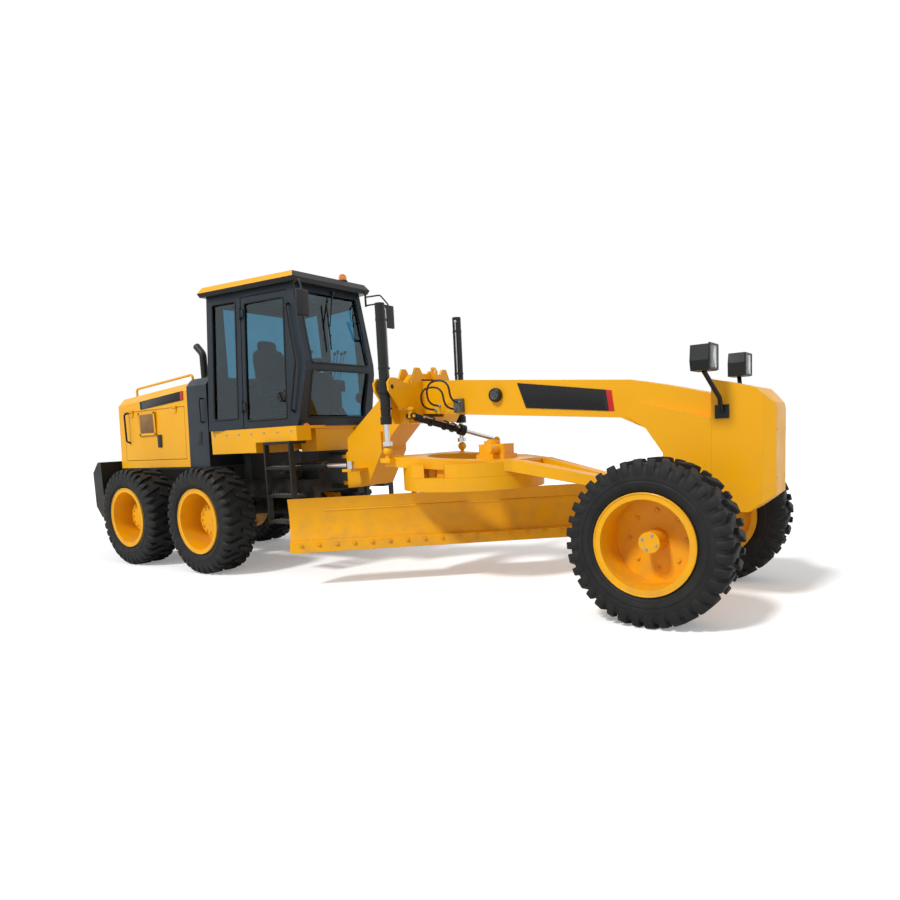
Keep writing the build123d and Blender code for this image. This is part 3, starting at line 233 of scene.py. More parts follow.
def ring_tree():
    """Adds a small piece many times round the Y axis to what comes in."""
    tree, given = geometry_tree("ring of pieces", [
        ("Piece", "NodeSocketObject"), ("Count", "NodeSocketInt"), ("Start", "NodeSocketFloat"),
        ("Finish", "NodeSocketMaterial")])
    spots = add(tree, "GeometryNodePoints", {"Count": given["Count"]})
    step = add(tree, "ShaderNodeMath", {0: 2 * math.pi, 1: given["Count"]}, operation="DIVIDE")
    turn = add(tree, "ShaderNodeMath", {0: add(tree, "GeometryNodeInputIndex").outputs[0], 1: step.outputs[0],
                                        2: given["Start"]}, operation="MULTIPLY_ADD")
    angles = add(tree, "ShaderNodeCombineXYZ", {"Y": turn.outputs[0]})
    source = add(tree, "GeometryNodeObjectInfo", {"Object": given["Piece"]})
    laid = add(tree, "GeometryNodeInstanceOnPoints", {
        "Points": spots.outputs[0], "Rotation": angles.outputs[0], "Instance": source.outputs["Geometry"]})
    real = add(tree, "GeometryNodeRealizeInstances", {0: laid.outputs[0]})
    both = add(tree, "GeometryNodeJoinGeometry")
    tree.links.new(real.outputs[0], both.inputs[0])
    tree.links.new(given["Geometry"], both.inputs[0])
    done = add(tree, "GeometryNodeSetMaterial", {"Geometry": both.outputs[0], "Material": given["Finish"]})
    add(tree, "NodeGroupOutput", {0: done.outputs[0]})
    return tree


def bolt_tree():
    """Puts a hexagon head on a washer at each point, standing along the point's 'out' direction."""
    tree, given = geometry_tree("bolt heads", [("Radius", "NodeSocketFloat"), ("Height", "NodeSocketFloat"),
                                               ("Finish", "NodeSocketMaterial")])
    wide = add(tree, "ShaderNodeMath", {0: given["Radius"], 1: 1.45}, operation="MULTIPLY")
    thin = add(tree, "ShaderNodeMath", {0: given["Height"], 1: 0.5}, operation="MULTIPLY")
    middle = add(tree, "ShaderNodeCombineXYZ", {"Z": thin.outputs[0]})
    head = add(tree, "GeometryNodeMeshCylinder", {"Vertices": 6, "Radius": given["Radius"],
                                                  "Depth": given["Height"]})
    lifted = add(tree, "GeometryNodeTransform", {"Geometry": head.outputs[0],
                                                 "Translation": middle.outputs[0]})
    washer = add(tree, "GeometryNodeMeshCylinder", {"Vertices": 14, "Radius": wide.outputs[0],
                                                    "Depth": thin.outputs[0]})
    stack = add(tree, "GeometryNodeJoinGeometry")
    tree.links.new(lifted.outputs[0], stack.inputs[0])
    tree.links.new(washer.outputs[0], stack.inputs[0])
    out = add(tree, "GeometryNodeInputNamedAttribute", {"Name": "out"}, data_type="FLOAT_VECTOR")
    aim = add(tree, "FunctionNodeAlignRotationToVector", {"Vector": out.outputs[0]}, axis="Z")
    laid = add(tree, "GeometryNodeInstanceOnPoints", {
        "Points": given["Geometry"], "Instance": stack.outputs[0], "Rotation": aim.outputs[0]})
    real = add(tree, "GeometryNodeRealizeInstances", {0: laid.outputs[0]})
    done = add(tree, "GeometryNodeSetMaterial", {"Geometry": real.outputs[0], "Material": given["Finish"]})
    add(tree, "NodeGroupOutput", {0: done.outputs[0]})
    return tree


RING = ring_tree()
BOLTS = bolt_tree()


def bolts(name, body, mat, spots, radius, height):
    """Bolt heads at a table of (place, outward direction)."""
    mesh = bpy.data.meshes.new(name)
    mesh.from_pydata([place for place, _ in spots], [], [])
    out = mesh.attributes.new("out", "FLOAT_VECTOR", "POINT")
    for i, (_, way) in enumerate(spots):
        out.data[i].vector = way
    obj = bpy.data.objects.new(name, mesh)
    bpy.context.collection.objects.link(obj)
    feed(obj, BOLTS, Radius=radius, Height=height, Finish=mat)
    settle(obj)
    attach(obj, body)
    return obj


# ---- finishes -------------------------------------------------------------------------------

def patches(tree, place, size_mm, detail=3.0, low=0.35, high=0.65, least=0.0, most=1.0):
    """Soft patches of a real size, from the least value to the most."""
    cloud = add(tree, "ShaderNodeTexNoise", {"Vector": place, "Scale": 1000 / size_mm, "Detail": detail})
    return add(tree, "ShaderNodeMapRange", {"Value": cloud.outputs[0], "From Min": low, "From Max": high,
                                            "To Min": least, "To Max": most}).outputs[0]


def close(mat, tree, sockets, **constants):
    """Ends a tree in one Principled shader."""
    shader = add(tree, "ShaderNodeBsdfPrincipled", {**constants, **sockets})
    add(tree, "ShaderNodeOutputMaterial", {"Surface": shader.outputs[0]})
    mat.diffuse_color = (0.5, 0.5, 0.5, 1)
    return mat


def enamel(name, colour, faded, worn, gloss, painted_shade_below=False):
    """Sprayed enamel: even colour, a soft sheen with a little orange peel, edges tinted in patches as painted
    edge highlight and wear, dust low down; optionally, faces looking down or ahead painted near-black as
    painted shade.
    """
    mat, tree, place = blank(name)
    edge = add(tree, "ShaderNodeBevel", {"Radius": 0.005}, samples=4)
    true = add(tree, "ShaderNodeNewGeometry")
    bent = add(tree, "ShaderNodeVectorMath", {0: edge.outputs[0], 1: true.outputs["Normal"]},
               operation="DOT_PRODUCT")
    corner = add(tree, "ShaderNodeMapRange", {"Value": bent.outputs["Value"], "From Min": 0.985,
                                              "From Max": 0.86})
    # Patchy tint on rounded edges towards the edge colour: a painted edge highlight, lighter on the dark
    # enamels, together with edge wear.
    highlight_and_wear_mask = add(tree, "ShaderNodeMath", {0: corner.outputs[0], 1: patches(tree, place, 60, 5, most=0.45)},
                 operation="MULTIPLY")
    tone = add(tree, "ShaderNodeMix", {"Factor": patches(tree, place, 900, most=0.55), 6: linear(colour),
                                       7: linear(faded)}, data_type="RGBA")
    # Faces looking down or ahead are painted near-black: painted shade on the roof's underside and front.
    if painted_shade_below:
        way = add(tree, "ShaderNodeSeparateXYZ", {0: true.outputs["Normal"]}).outputs
        below = add(tree, "ShaderNodeMath", {0: way[2], 1: -0.1}, operation="LESS_THAN")
        ahead = add(tree, "ShaderNodeMath", {0: way[0], 1: 0.5}, operation="GREATER_THAN")
        dark = add(tree, "ShaderNodeMath", {0: below.outputs[0], 1: ahead.outputs[0]}, operation="MAXIMUM")
        tone = add(tree, "ShaderNodeMix", {"Factor": dark.outputs[0], 6: tone.outputs[2],
                                           7: linear("#17191A")}, data_type="RGBA")
    height = add(tree, "ShaderNodeSeparateXYZ", {0: place}).outputs[2]
    low = add(tree, "ShaderNodeMapRange", {"Value": height, "From Min": 1.3, "From Max": 0.2})
    drift = patches(tree, place, 140, 6, 0.42, 0.7, most=0.3)
    dust = add(tree, "ShaderNodeMath", {0: low.outputs[0], 1: drift}, operation="MULTIPLY")
    tone = add(tree, "ShaderNodeMix", {"Factor": dust.outputs[0], 6: tone.outputs[2], 7: linear("#8C7A5E")},
               data_type="RGBA")
    # Mixes in the painted edge highlight and wear on the edges.
    tone = add(tree, "ShaderNodeMix", {"Factor": highlight_and_wear_mask.outputs[0], 6: tone.outputs[2], 7: linear(worn)},
               data_type="RGBA")
    sheen = patches(tree, place, 250, 4, least=gloss, most=gloss + 0.14)
    rough = add(tree, "ShaderNodeMath", {0: dust.outputs[0], 1: 1.2, 2: sheen}, operation="MULTIPLY_ADD",
                use_clamp=True)
    # The real orange peel is about 1 mm across; 4 mm is the finest that shows at this distance.
    peel = add(tree, "ShaderNodeBump", {"Height": patches(tree, place, 4, 2), "Strength": 0.06,
                                        "Distance": 0.0002, "Normal": edge.outputs[0]})
    return close(mat, tree, {"Base Color": tone.outputs[2], "Roughness": rough.outputs[0],
                             "Normal": peel.outputs[0]},
                 **{"IOR": 1.5, "Specular IOR Level": 0.34, "Coat Weight": 0.05, "Coat Roughness": 0.1})


def rubber(name, colour, dusty, rough, grain_mm, grit=0.3):
    """Carbon-black rubber: dull, finely pitted, greyer where dust has worked in."""
    mat, tree, place = blank(name)
    tone = add(tree, "ShaderNodeMix", {"Factor": patches(tree, place, 160, 6, most=0.7), 6: linear(colour),
                                       7: linear(dusty)}, data_type="RGBA")
    sheen = patches(tree, place, 90, 4, least=rough, most=rough + 0.15)
    pits = add(tree, "ShaderNodeBump", {"Height": patches(tree, place, grain_mm, 2), "Strength": grit,
                                        "Distance": grain_mm / 8000})
    return close(mat, tree, {"Base Color": tone.outputs[2], "Roughness": sheen, "Normal": pits.outputs[0]},
                 **{"IOR": 1.52, "Specular IOR Level": 0.35})


def metal(name, colour, stain, rough, scratch_mm, stains=0.3):
    """Bare metal: bright, with faint marks and stains of its own."""
    mat, tree, place = blank(name)
    tone = add(tree, "ShaderNodeMix", {"Factor": patches(tree, place, 70, 6, most=stains), 6: linear(colour),
                                       7: linear(stain)}, data_type="RGBA")
    marks = patches(tree, place, scratch_mm, 3, 0.3, 0.7)
    shine = add(tree, "ShaderNodeMapRange", {"Value": marks, "To Min": rough, "To Max": rough + 0.16})
    nicks = add(tree, "ShaderNodeBump", {"Height": marks, "Strength": 0.1, "Distance": 0.0002})
    return close(mat, tree, {"Base Color": tone.outputs[2], "Roughness": shine.outputs[0],
                             "Normal": nicks.outputs[0]}, Metallic=1.0)


def moulded(name, colour, lighter, rough, grain_mm, grit=0.25):
    """Moulded ABS: low sheen over a fine leather-like grain."""
    mat, tree, place = blank(name)
    cells = add(tree, "ShaderNodeTexVoronoi", {"Vector": place, "Scale": 1000 / grain_mm}).outputs["Distance"]
    tone = add(tree, "ShaderNodeMix", {"Factor": patches(tree, place, 120, 4, most=0.6), 6: linear(colour),
                                       7: linear(lighter)}, data_type="RGBA")
    shine = add(tree, "ShaderNodeMapRange", {"Value": cells, "To Min": rough, "To Max": rough + 0.12})
    grain = add(tree, "ShaderNodeBump", {"Height": cells, "Strength": grit, "Distance": grain_mm / 6000})
    return close(mat, tree, {"Base Color": tone.outputs[2], "Roughness": shine.outputs[0],
                             "Normal": grain.outputs[0]}, **{"IOR": 1.53, "Specular IOR Level": 0.35})


def pane(name, colour, rough, weight=1.0, ribs_mm=0, ior=1.52):
    """Clear or tinted pane: smooth and see-through, with a faint film of dust, or ribs where it is a lens."""
    mat, tree, place = blank(name)
    film = patches(tree, place, 220, 5, 0.45, 0.75)
    haze = add(tree, "ShaderNodeMath", {0: film, 1: 0.12}, operation="MULTIPLY")
    tone = add(tree, "ShaderNodeMix", {"Factor": haze.outputs[0], 6: linear(colour), 7: linear("#8F9894")},
               data_type="RGBA")
    shine = add(tree, "ShaderNodeMapRange", {"Value": film, "To Min": rough, "To Max": rough + 0.04})
    sockets = {"Base Color": tone.outputs[2], "Roughness": shine.outputs[0]}
    if ribs_mm:
        wave = add(tree, "ShaderNodeTexWave", {"Vector": place, "Scale": 50 / ribs_mm}, bands_direction="Y")
        ribs = add(tree, "ShaderNodeBump", {"Height": wave.outputs["Fac"], "Strength": 0.5,
                                            "Distance": 0.0012})
        sockets["Normal"] = ribs.outputs[0]
    return close(mat, tree, sockets, **{"Transmission Weight": weight, "IOR": ior})


def seat_cloth():
    """Woven seat cloth: two dark yarns crossing, matt with a slight sheen."""
    mat, tree, place = blank("woven_seat_cloth")
    # Real yarns are 1 mm apart; 10 mm is the finest that shows through the panes.
    one, two = (add(tree, "ShaderNodeTexWave", {"Vector": place, "Scale": 50 / 10}, bands_direction=way)
                for way in ("Y", "Z"))
    weave = add(tree, "ShaderNodeMath", {0: one.outputs["Fac"], 1: two.outputs["Fac"]},
                operation="MULTIPLY").outputs[0]
    tone = add(tree, "ShaderNodeMix", {"Factor": weave, 6: linear("#101315"), 7: linear("#181B1E")},
               data_type="RGBA")
    yarns = add(tree, "ShaderNodeBump", {"Height": weave, "Strength": 0.2, "Distance": 0.0008})
    return close(mat, tree, {"Base Color": tone.outputs[2], "Normal": yarns.outputs[0]},
                 **{"Roughness": 0.85, "Sheen Weight": 0.3, "Sheen Roughness": 0.5})


def grille_sheet():
    """Punched steel sheet, painted brown: rows of round holes, not cut but painted near-black as painted
    shade of the space behind.
    """
    mat, tree, place = blank("punched_brown_sheet")
    # The real holes are about 6 mm; 14 mm pitch is the finest that shows.
    holes = add(tree, "ShaderNodeTexVoronoi", {"Vector": place, "Scale": 1000 / 14, "Randomness": 0.0})
    sheet = add(tree, "ShaderNodeMapRange", {"Value": holes.outputs["Distance"], "From Min": 0.33,
                                             "From Max": 0.42}).outputs[0]
    paint = add(tree, "ShaderNodeMix", {"Factor": patches(tree, place, 200, 4), 6: linear("#8A6226"),
                                        7: linear("#6F4E20")}, data_type="RGBA")
    # The holes are painted near-black: painted shade of the dark space behind the sheet.
    tone = add(tree, "ShaderNodeMix", {"Factor": sheet, 6: linear("#120E08"), 7: paint.outputs[2]},
               data_type="RGBA")
    punched = add(tree, "ShaderNodeBump", {"Height": sheet, "Strength": 0.6, "Distance": 0.002})
    return close(mat, tree, {"Base Color": tone.outputs[2], "Normal": punched.outputs[0]}, Roughness=0.5)


YELLOW = enamel("yellow_machine_enamel", "#F4B000", "#EBA500", "#B98524", 0.33)
# Roof: yellow enamel with painted shade on its faces that look down or ahead.
ROOF = enamel("yellow_enamel_painted_shade_below", "#F4B000", "#EBA500", "#B98524", 0.33, painted_shade_below=True)
SLATE = enamel("slate_grey_enamel", "#1C2833", "#18232C", "#55626B", 0.38)
BLACK = enamel("satin_black_enamel", "#0E1112", "#141718", "#3A3D3E", 0.42)
CAST = enamel("grey_engine_enamel", "#5C5F5E", "#4A4C4C", "#83827E", 0.5)
TYRE = rubber("tyre_rubber", "#0F1112", "#1A1A18", 0.62, 6, 0.4)
HOSE = rubber("hose_rubber", "#17191A", "#232424", 0.42, 5)
SEAL = rubber("seal_rubber", "#101214", "#1B1D1F", 0.5, 5, 0.2)
ROD = metal("hard_chromed_steel", "#D9DBDB", "#B5B8B8", 0.07, 30, 0.2)
ZINC = metal("zinc_plated_steel", "#B9BBB6", "#8E8A76", 0.3, 8)
BRIGHT = metal("silvered_glass", "#DCE2E4", "#C9D0D3", 0.02, 60, 0.1)
REFLECTOR = metal("metallised_reflector", "#E4E6E8", "#C4C8CB", 0.12, 12, 0.2)
GLASS = pane("tinted_safety_glass", "#6EA8BC", 0.0)
LENS = pane("ribbed_lamp_glass", "#F2F6F7", 0.03, 0.95, ribs_mm=14)
AMBER = pane("amber_lens", "#FF9A1E", 0.12, 0.7, ribs_mm=9, ior=1.49)
CLOTH = seat_cloth()
PLASTIC = moulded("moulded_black_abs", "#0F1214", "#181B1D", 0.42, 4)
GLOSS = moulded("gloss_black_sheet", "#060708", "#0A0B0C", 0.22, 30, 0.05)
RED = moulded("signal_red_sheet", "#C8201C", "#B71C19", 0.25, 30, 0.05)
GRILLE = grille_sheet()
SLOTS = {"tyre": TYRE, "yellow": YELLOW, "slate": SLATE, "black": BLACK, "steel": ZINC, "rod": ROD,
         "glass": GLASS, "fabric": CLOTH, "plastic": PLASTIC, "engine": CAST}
OTHER = {"cab_roof": ROOF, "circle": YELLOW, "cutting_edge": YELLOW,
         **dict.fromkeys(("lift_barrel_left", "lift_barrel_right", "artic_barrel_left", "artic_barrel_right",
                          "shift_barrel", "exhaust", "rear_frame", "tandem_drive"), BLACK)}

for part in frame["record"]["subparts"]:
    node = NODES[part["node"]]
    node.data.materials.clear()
    node.data.materials.append(OTHER.get(part["node"], SLOTS[part["material_slot"]]))


# ---- wheels ---------------------------------------------------------------------------------

def tyre_carcass():
    """Tyre body without lugs: tread band, shoulder, bulged wall with its rings, and bead."""
    half = [(0.0, 0.566), (0.14, 0.564), (0.17, 0.556), (0.186, 0.54), (0.195, 0.51), (0.2, 0.468),
            (0.1995, 0.455), (0.1965, 0.452), (0.1975, 0.444), (0.2, 0.44), (0.198, 0.416), (0.193, 0.404),
            (0.188, 0.402), (0.1865, 0.392), (0.178, 0.382), (0.172, 0.369), (0.164, 0.36), (0.164, 0.342),
            (0.12, 0.338), (0.0, 0.338)]
    return half + [(-a, r) for a, r in reversed(half[1:-1])] + [half[0]]


def tyre_lugs(side):
    """Chevron bar of one side of a tread, with its flank over the shoulder, and a short block beside it."""
    bm = bmesh.new()

    def bar_of(rows):
        """One bar; rows give place across, turn, half-width, and the radius of its top and foot."""
        rings = []
        for across, turn, half_wide, top, foot in rows:
            ring = []
            for radius, wide in ((foot, half_wide * 1.12), (top, half_wide), (top, -half_wide),
                                 (foot, -half_wide * 1.12)):
                angle = turn + wide / radius
                ring.append(bm.verts.new((radius * math.sin(angle), side * across, radius * math.cos(angle))))
            rings.append(ring)
        for one, two in zip(rings, rings[1:]):
            for i in range(4):
                bm.faces.new([one[i], one[(i + 1) % 4], two[(i + 1) % 4], two[i]])
        bm.faces.new(rings[0])
        bm.faces.new(list(reversed(rings[-1])))

    bar_of([(-0.012, 0.0, 0.021, 0.599, 0.55), (0.07, 0.045, 0.027, 0.6, 0.55),
            (0.14, 0.1, 0.031, 0.599, 0.54), (0.172, 0.118, 0.033, 0.594, 0.53),
            (0.1925, 0.124, 0.033, 0.562, 0.5), (0.2, 0.127, 0.027, 0.516, 0.486)])
    half_step = math.pi / CHEVRONS
    bar_of([(0.112, 0.085 + half_step, 0.02, 0.597, 0.54), (0.172, 0.112 + half_step, 0.026, 0.593, 0.53),
            (0.1925, 0.12 + half_step, 0.027, 0.56, 0.5), (0.2, 0.124 + half_step, 0.022, 0.52, 0.49)])
    bmesh.ops.recalc_face_normals(bm, faces=bm.faces)
    mesh = bpy.data.meshes.new("lug")
    bm.to_mesh(mesh)
    bm.free()
    lug = bpy.data.objects.new("lug_source", mesh)
    bpy.context.collection.objects.link(lug)
    mod = lug.modifiers.new("edge", "BEVEL")
    mod.width, mod.segments = 0.004, 1
    settle(lug)
    return lug


LUG_LEFT, LUG_RIGHT = tyre_lugs(1), tyre_lugs(-1)


def tyre(node, body, centre):
    """Lugged tyre in place of its CAD node."""
    bm = bmesh.new()
    lathe(bm, tyre_carcass(), (0, 0, 0), (0, 1, 0), 96)
    obj = stand(node + "_tread", bm)
    feed(obj, RING, Piece=LUG_LEFT, Count=CHEVRONS, Start=0.0, Finish=TYRE)
    settle(obj)
    feed(obj, RING, Piece=LUG_RIGHT, Count=CHEVRONS, Start=math.pi / CHEVRONS, Finish=TYRE)
    settle(obj)
    obj.data.transform(Matrix.Translation(centre))
    obj.data.shade_smooth()
    obj.data.set_sharp_from_angle(angle=math.radians(32))
    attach(obj, body)
    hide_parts(node)


def ring_of(centre, radius, count, way, start=0.0):
    """Places round a circle about the Y axis, all facing one way."""
    return [((centre[0] + radius * math.sin(start + 2 * math.pi * i / count), centre[1],
              centre[2] + radius * math.cos(start + 2 * math.pi * i / count)), way) for i in range(count)]


for pair in ("front", "middle", "rear"):
    for hand, out in HANDS:
        low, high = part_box(f"tyre_{pair}_{hand}")
        hub = (low + high) / 2
        wheel = f"wheel_{pair}_{hand}"
        tyre(f"tyre_{pair}_{hand}", wheel, hub)
        way = (0, out, 0)
        disc = hub.y - out * (0.115 if pair == "front" else 0.11)
        if pair == "front":
            bolts(f"wheel_bolts_{pair}_{hand}", wheel, YELLOW,
                  ring_of((hub.x, disc, hub.z), 0.212, 8, way), 0.013, 0.014)
            bolts(f"cap_screws_{pair}_{hand}", wheel, ZINC,
                  ring_of((hub.x, hub.y + out * 0.07, hub.z), 0.055, 4, way, 0.4), 0.008, 0.008)
        else:
            bolts(f"wheel_bolts_{pair}_{hand}", wheel, YELLOW,
                  ring_of((hub.x, hub.y + out * 0.015, hub.z), 0.142, 12, way), 0.014, 0.016)
        bm = bmesh.new()
        for low_r, face in ((0.366, 0.186), (0.336, 0.176)):
            lathe(bm, [(0, low_r), (0.006, low_r + 0.003), (0.009, low_r - 0.003), (0.006, low_r - 0.009),
                       (0, low_r - 0.011), (0, low_r)], (hub.x, hub.y + out * (face - 0.003), hub.z), way, 72)
        piece(f"lock_rings_{pair}_{hand}", wheel, YELLOW, bm)
        bm = bmesh.new()
        stem = Vector((hub.x + 0.16, disc + out * 0.005, hub.z + 0.235))
        bar(bm, stem, stem + Vector((0.004, out * 0.09, 0.012)), 0.008, sides=10)
        bar(bm, stem + Vector((0.004, out * 0.085, 0.012)), stem + Vector((0.005, out * 0.112, 0.014)), 0.011,
            sides=10)
        piece(f"valve_{pair}_{hand}", wheel, ZINC, bm)
for source in (LUG_LEFT, LUG_RIGHT):
    bpy.data.objects.remove(source)


# ---- beam, saddle and blade gear ------------------------------------------------------------

def sign(name, body, corners, depth, edge):
    """Blank gloss black plate with a red strip along its front end; corners run round from the top front."""
    c = [Vector(p) for p in corners]
    bm = bmesh.new()
    slab(bm, c, depth)
    piece(name + "_plate", body, GLOSS, bm, bevel=0.002)
    a, b = c[0], c[3]
    left, right = a.lerp(c[1], edge), b.lerp(c[2], edge)
    far = Vector(depth) * 1.6
    bm = bmesh.new()
    slab(bm, [a - (c[1] - a) * 0.004, left, right, b - (c[2] - b) * 0.004], far)
    piece(name + "_edge", body, RED, bm, bevel=0.0015)
    rim = [a.lerp(c[1], edge * 1.1), c[1], c[2], b.lerp(c[2], edge * 1.1)]
    middle = (rim[0] + rim[1] + rim[2] + rim[3]) / 4
    bm = bmesh.new()
    for one, two in zip(rim, rim[1:] + rim[:1]):
        slab(bm, [one, two, two.lerp(middle, 0.06), one.lerp(middle, 0.06)], far * 0.9)
    piece(name + "_border", body, PLASTIC, bm)


for hand, out in reversed(HANDS):
    y = out * (BEAM_SIDE + 0.0002)
    label = [(2.979, y, 1.729), (2.088, y, 1.861), (2.171, y, 1.633), (3.001, y, 1.556)]
    sign(f"beam_label_{hand}", "front", label, (0, out * 0.004, 0), 0.05)
    spot, way = (1.865, out * BEAM_SIDE, 1.77), (0, out, 0)
    bm = bmesh.new()
    lathe(bm, [(0, 0.0), (0, 0.062), (0.02, 0.066), (0.045, 0.06), (0.05, 0.05), (0.046, 0.047),
               (0.046, 0.0)], spot, way, 28)
    piece(f"beam_lamp_case_{hand}", "front", PLASTIC, bm)
    bm = bmesh.new()
    lathe(bm, [(0.046, 0.0), (0.046, 0.046), (0.052, 0.042), (0.057, 0.025), (0.059, 0.0)], spot, way, 28)
    piece(f"beam_lamp_lens_{hand}", "front", LENS, bm)


# ---- cab ------------------------------------------------------------------------------------

def cab_half(x, z):
    """Half-width of the cab's side wall at a place along it and a height."""
    t, h = (x + 1.655) / 1.3, (z - 1.6) / 1.51
    back, front = 0.805 - 0.11 * h, 0.575 - 0.07 * h
    return back + (front - back) * t


def cab_front(z):
    """Front face of the cab's front posts at a height."""
    return -0.395 + (z - 1.595) * 0.2205 if z < 2.23 else -0.255 - (z - 2.23) * 0.1808


def seal(name, body, corners):
    """Rubber seal that runs round a pane."""
    tube(name, body, SEAL, corners, 0.011, closed=True, bend=0.05)


def seals():
    """Seals of the two screens, the rear window, the side panes and the doors."""
    for name, z0, z1 in (("lower_screen", 1.692, 2.193), ("upper_screen", 2.267, 3.048)):
        seal(name + "_seal", "rear", [(cab_front(z) - 0.002, y, z) for y, z in
                                      ((-0.438, z0), (0.438, z0), (0.438, z1), (-0.438, z1))])
    seal("rear_window_seal", "rear", [(-1.653, y, z) for y, z in
                                      ((-0.518, 2.122), (0.518, 2.122), (0.518, 3.018), (-0.518, 3.018))])
    for hand, out in HANDS:
        for name, body, x0, x1, z0, z1, inset in (
                ("side_pane", "rear", -1.573, -1.217, 1.722, 3.018, 0.002),
                ("door_pane", f"cab_door_{hand}", -1.092, -0.538, 1.692, 2.978, 0.006)):
            seal(f"{name}_seal_{hand}", body, [(x, out * (cab_half(x, z) - inset), z) for x, z in
                                               ((x0, z0), (x1, z0), (x1, z1), (x0, z1))])


def grab_bars():
    """Grab bar at each front post and latch handle on each door."""
    for hand, out in HANDS:
        line = [(-0.462, 0.53, 2.90), (-0.455, 0.585, 2.875), (-0.352, 0.597, 2.27), (-0.43, 0.632, 1.78),
                (-0.435, 0.578, 1.755)]
        tube(f"grab_bar_{hand}", "rear", BLACK, [(x, out * y, z) for x, y, z in line], 0.013, bend=0.045)
        x, z = -0.60, 1.93
        y = cab_half(x, z) - 0.004
        bm = bmesh.new()
        lathe(bm, [(0, 0.0), (0, 0.062), (0.01, 0.06), (0.014, 0.05), (0.006, 0.042), (0.006, 0.0)],
              (x, out * y, z), (0.17, out, 0.06), 36)
        ends = ((x - 0.03, z + 0.035), (x + 0.01, z - 0.045))
        bar(bm, *((along, out * (y + 0.02), up) for along, up in ends), 0.011, sides=12)
        for along, up in ends:
            bar(bm, (along, out * (y + 0.002), up), (along, out * (y + 0.028), up), 0.009, sides=12)
        piece(f"door_handle_{hand}", f"cab_door_{hand}", PLASTIC, bm)


def wiper():
    """Wiper that hangs from the screen's top rail, with its motor cap, arm and blade."""
    top = Vector((cab_front(3.07) + 0.012, 0.06, 3.07))
    mid = Vector((cab_front(2.68) + 0.035, -0.1, 2.68))
    bm = bmesh.new()
    bar(bm, top - Vector((0.03, 0, 0)), top + Vector((0.02, 0, 0)), 0.024, 0.018)
    bar(bm, top, mid, 0.009, 0.006, 10)
    low, high = Vector((cab_front(2.42) + 0.02, -0.13, 2.42)), Vector((cab_front(2.94) + 0.02, -0.07, 2.94))
    bar(bm, low, high, 0.007, sides=8)
    for along, rise in ((0.25, 0.03), (0.75, -0.03)):
        claw = low.lerp(high, along)
        bar(bm, claw - Vector((0.008, 0, 0)), claw + Vector((0.02, 0, rise)), 0.005, sides=8)
    piece("wiper", "rear", SEAL, bm)
    bm = bmesh.new()
    slab(bm, [low, high, high - Vector((0.014, 0.002, 0)), low - Vector((0.014, 0.002, 0))], (0, 0.003, 0))
    piece("wiper_rubber", "rear", HOSE, bm)


def corner_lamps():
    """Round lamp under each front corner of the cab."""
    for hand, out in HANDS:
        spot, way = Vector((-0.335, out * 0.53, 1.585)), Vector((1, out * 0.25, 0))
        bm = bmesh.new()
        lathe(bm, [(-0.05, 0.0), (-0.05, 0.035), (-0.02, 0.052), (0.015, 0.06), (0.028, 0.058), (0.03, 0.048),
                   (0.018, 0.046), (0.018, 0.0)], spot, way, 32)
        bar(bm, spot - way * 0.02, spot - way * 0.02 + Vector((-0.07, 0, 0.03)), 0.012, sides=10)
        piece(f"corner_lamp_case_{hand}", "rear", PLASTIC, bm)
        bm = bmesh.new()
        lathe(bm, [(0.0185, 0.0), (0.0185, 0.046), (0.028, 0.045), (0.037, 0.032), (0.041, 0.0)], spot, way,
              32)
        piece(f"corner_lamp_lens_{hand}", "rear", AMBER, bm)
        bm = bmesh.new()
        lathe(bm, [(0.0182, 0.0), (0.0182, 0.045), (0.0188, 0.045), (0.0188, 0.0)], spot, way, 24)
        piece(f"corner_lamp_back_{hand}", "rear", REFLECTOR, bm)


def cushion(name, middle, half, turn=0.0, crown=0.0, square=5.0):
    """Stuffed pad: a rounded, crowned form with piping round its middle, leaned back by a turn."""
    bm = bmesh.new()
    bmesh.ops.create_cube(bm, size=2)
    bmesh.ops.subdivide_edges(bm, edges=bm.edges[:], cuts=9, use_grid_fill=True)
    lean = Matrix.Translation(middle) @ Matrix.Rotation(turn, 4, "Y")

    def shaped(p):
        """Place on the stuffed form of a point on the cube."""
        n = sum(abs(c) ** square for c in p) ** (1 / square)
        u, v, w = (c / n for c in p)
        swell = 1 + crown * (1 - u * u) * (1 - v * v)
        channel = 0.035 * math.exp(-((abs(v) - 0.55) / 0.07) ** 2) if w > 0.4 else 0.0
        return lean @ Vector((half[0] * u, half[1] * v, half[2] * (w * swell - channel)))

    for vert in bm.verts:
        vert.co = shaped(vert.co)
    pad = piece(name, "rear", CLOTH, bm, smooth=80)
    line = []
    for i in range(28):
        a = 2 * math.pi * i / 28
        c, s = math.cos(a), math.sin(a)
        k = (abs(c) ** square + abs(s) ** square) ** (-1 / square)
        line.append(lean @ Vector((half[0] * c * k, half[1] * s * k, 0)))
    tube(name + "_piping", "rear", SEAL, line, 0.005, closed=True, bend=0.01)


